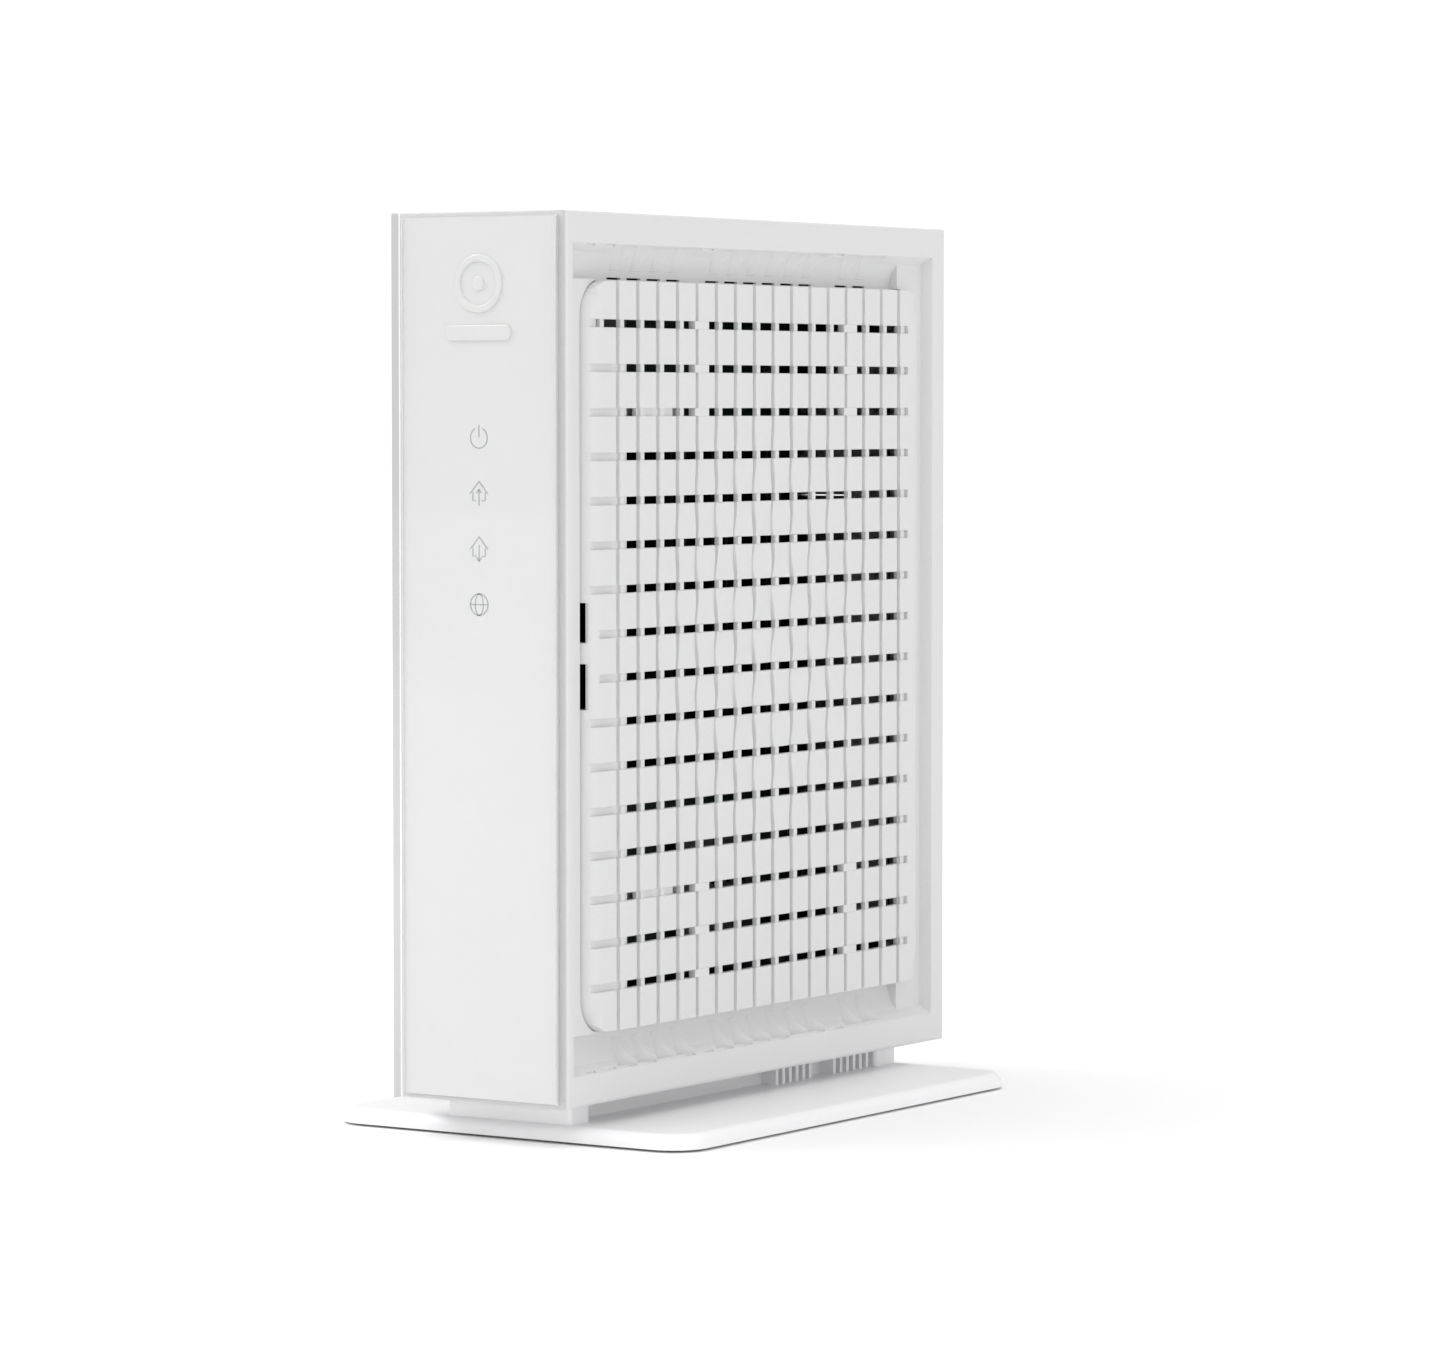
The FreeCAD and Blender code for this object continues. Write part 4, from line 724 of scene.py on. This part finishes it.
def printedMarks():
    m = marks
    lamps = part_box("indicator_leds")
    top = lamps[1].z / mm - m["lampHalf"]
    bottom = lamps[0].z / mm + m["lampHalf"]
    pitch = (top - bottom) / (m["places"] - 1)
    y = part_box("front_lens")[1].y / mm - m["printDepth"]
    bm = bmesh.new()
    # power: a ring open at the top round a short bar
    z = top - pitch
    radius = m["ringRadius"]
    ring = arcPoints(0, z, radius, m["ringTurn"], m["ringSteps"])
    addStroke(bm, ring, m["stroke"], y, m["thick"])
    addStroke(bm, [(0, z + m["barFoot"]), (0, z + radius + m["barRise"])], m["stroke"], y, m["thick"])
    addHouse(bm, m, top - 2 * pitch, y, 1)
    addHouse(bm, m, top - 3 * pitch, y, -1)
    # online: a plain globe
    z = top - 4 * pitch
    radius = m["globeRadius"]
    outline = arcPoints(0, z, radius, m["globeTurn"], m["globeSteps"])
    meridian = arcPoints(0, z, radius, m["globeTurn"], m["globeSteps"], m["globeSquash"])
    addStroke(bm, outline, m["stroke"], y, m["thick"], True)
    addStroke(bm, meridian, m["fineStroke"], y, m["thick"], True)
    addStroke(bm, [(-radius, z), (radius, z)], m["fineStroke"], y, m["thick"])
    piece = meshPiece("printedMarks", bm)
    piece.data.materials.append(printedInk)
    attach(piece, "housing")
    return piece


printedMarks()
print("front marks")


# the camera: place in metres, turn and tilt in degrees, lens and sensor in millimetres
shot = {"place": (0.713, -1.0775, 0.1661), "turn": 33.05, "tilt": -2.908, "lens": 136.28,
        "sensor": 36, "near": 0.01, "far": 50}


def makeCamera():
    data = bpy.data.cameras.new("camera")
    data.lens = shot["lens"]
    data.sensor_width = shot["sensor"]
    data.clip_start = shot["near"]
    data.clip_end = shot["far"]
    camera = bpy.data.objects.new("camera", data)
    camera.location = shot["place"]
    camera.rotation_euler = Euler((math.radians(90 + shot["tilt"]), 0, math.radians(shot["turn"])))
    bpy.context.scene.collection.objects.link(camera)
    bpy.context.scene.camera = camera


# matt painted studio floor: plain near-white, so that it reads as clean paper
mattPaintedFloorLook = {"colour": "#fdfdfd", "drift": "#f6f6f6", "cloudScale": 3.0, "roughness": 0.9,
                        "reach": 6}


def paleFloor(look):
    bm = bmesh.new()
    for x, y in ((-1, -1), (1, -1), (1, 1), (-1, 1)):
        bm.verts.new((x * look["reach"], y * look["reach"], 0))
    bm.faces.new(bm.verts)
    floor = meshPiece("floor", bm)
    material, tree = newMaterial("mattPaintedFloor")
    place = addNode(tree, "ShaderNodeTexCoord").outputs["Object"]
    cloud = addNode(tree, "ShaderNodeTexNoise", {"Scale": look["cloudScale"]}, {"Vector": place})
    tint = addNode(tree, "ShaderNodeMixRGB",
                   {"Color1": toLinear(look["colour"]), "Color2": toLinear(look["drift"])},
                   {"Fac": cloud.outputs["Fac"]})
    shader = addNode(tree, "ShaderNodeBsdfPrincipled", {"Roughness": look["roughness"]},
                     {"Base Color": tint.outputs["Color"]})
    addNode(tree, "ShaderNodeOutputMaterial", None, {"Surface": shader.outputs["BSDF"]})
    floor.data.materials.append(material)


# soft light from all round, from overhead, from the vented side and from the left front
studio = {
    "fill": 0.55, "backdrop": 1.05,
    "overhead": {"power": 1.80, "spread": 100, "turn": (14, -8, 0)},
    "side": {"power": 0.60, "spread": 60, "turn": (0, 78, -20)},
    "key": {"power": 11.0, "size": 1.0, "place": (-1.5, -0.8, 1.5), "aim": (0, 0, 0.1)},
}


def addLamp(name, data, place, turn):
    lamp = bpy.data.objects.new(name, data)
    lamp.location = place
    lamp.rotation_euler = turn
    bpy.context.scene.collection.objects.link(lamp)


def softbox(name, light):
    data = bpy.data.lights.new(name, "AREA")
    data.shape = "RECTANGLE"
    data.size = light["size"]
    data.size_y = light["size"]
    data.energy = light["power"]
    way = Vector(light["aim"]) - Vector(light["place"])
    addLamp(name, data, light["place"], way.to_track_quat("-Z", "Y").to_euler())


def farLight(name, light):
    data = bpy.data.lights.new(name, "SUN")
    data.energy = light["power"]
    data.angle = math.radians(light["spread"])
    addLamp(name, data, (0, 0, 0), Euler([math.radians(angle) for angle in light["turn"]]))


def studioLight():
    world = bpy.data.worlds.new("studio")
    world.use_nodes = True
    tree = world.node_tree
    tree.nodes.clear()
    fill = addNode(tree, "ShaderNodeBackground", {"Color": (1, 1, 1, 1), "Strength": studio["fill"]})
    seen = addNode(tree, "ShaderNodeBackground", {"Color": (1, 1, 1, 1), "Strength": studio["backdrop"]})
    path = addNode(tree, "ShaderNodeLightPath")
    mix = addNode(tree, "ShaderNodeMixShader", None,
                  {"Fac": path.outputs["Is Camera Ray"], 1: fill.outputs["Background"],
                   2: seen.outputs["Background"]})
    addNode(tree, "ShaderNodeOutputWorld", None, {"Surface": mix.outputs["Shader"]})
    bpy.context.scene.world = world
    farLight("overheadSoftLight", studio["overhead"])
    farLight("sideSoftLight", studio["side"])
    softbox("keySoftbox", studio["key"])


makeCamera()
paleFloor(mattPaintedFloorLook)
studioLight()
bpy.context.scene.view_settings.view_transform = "Standard"
print("camera and light")
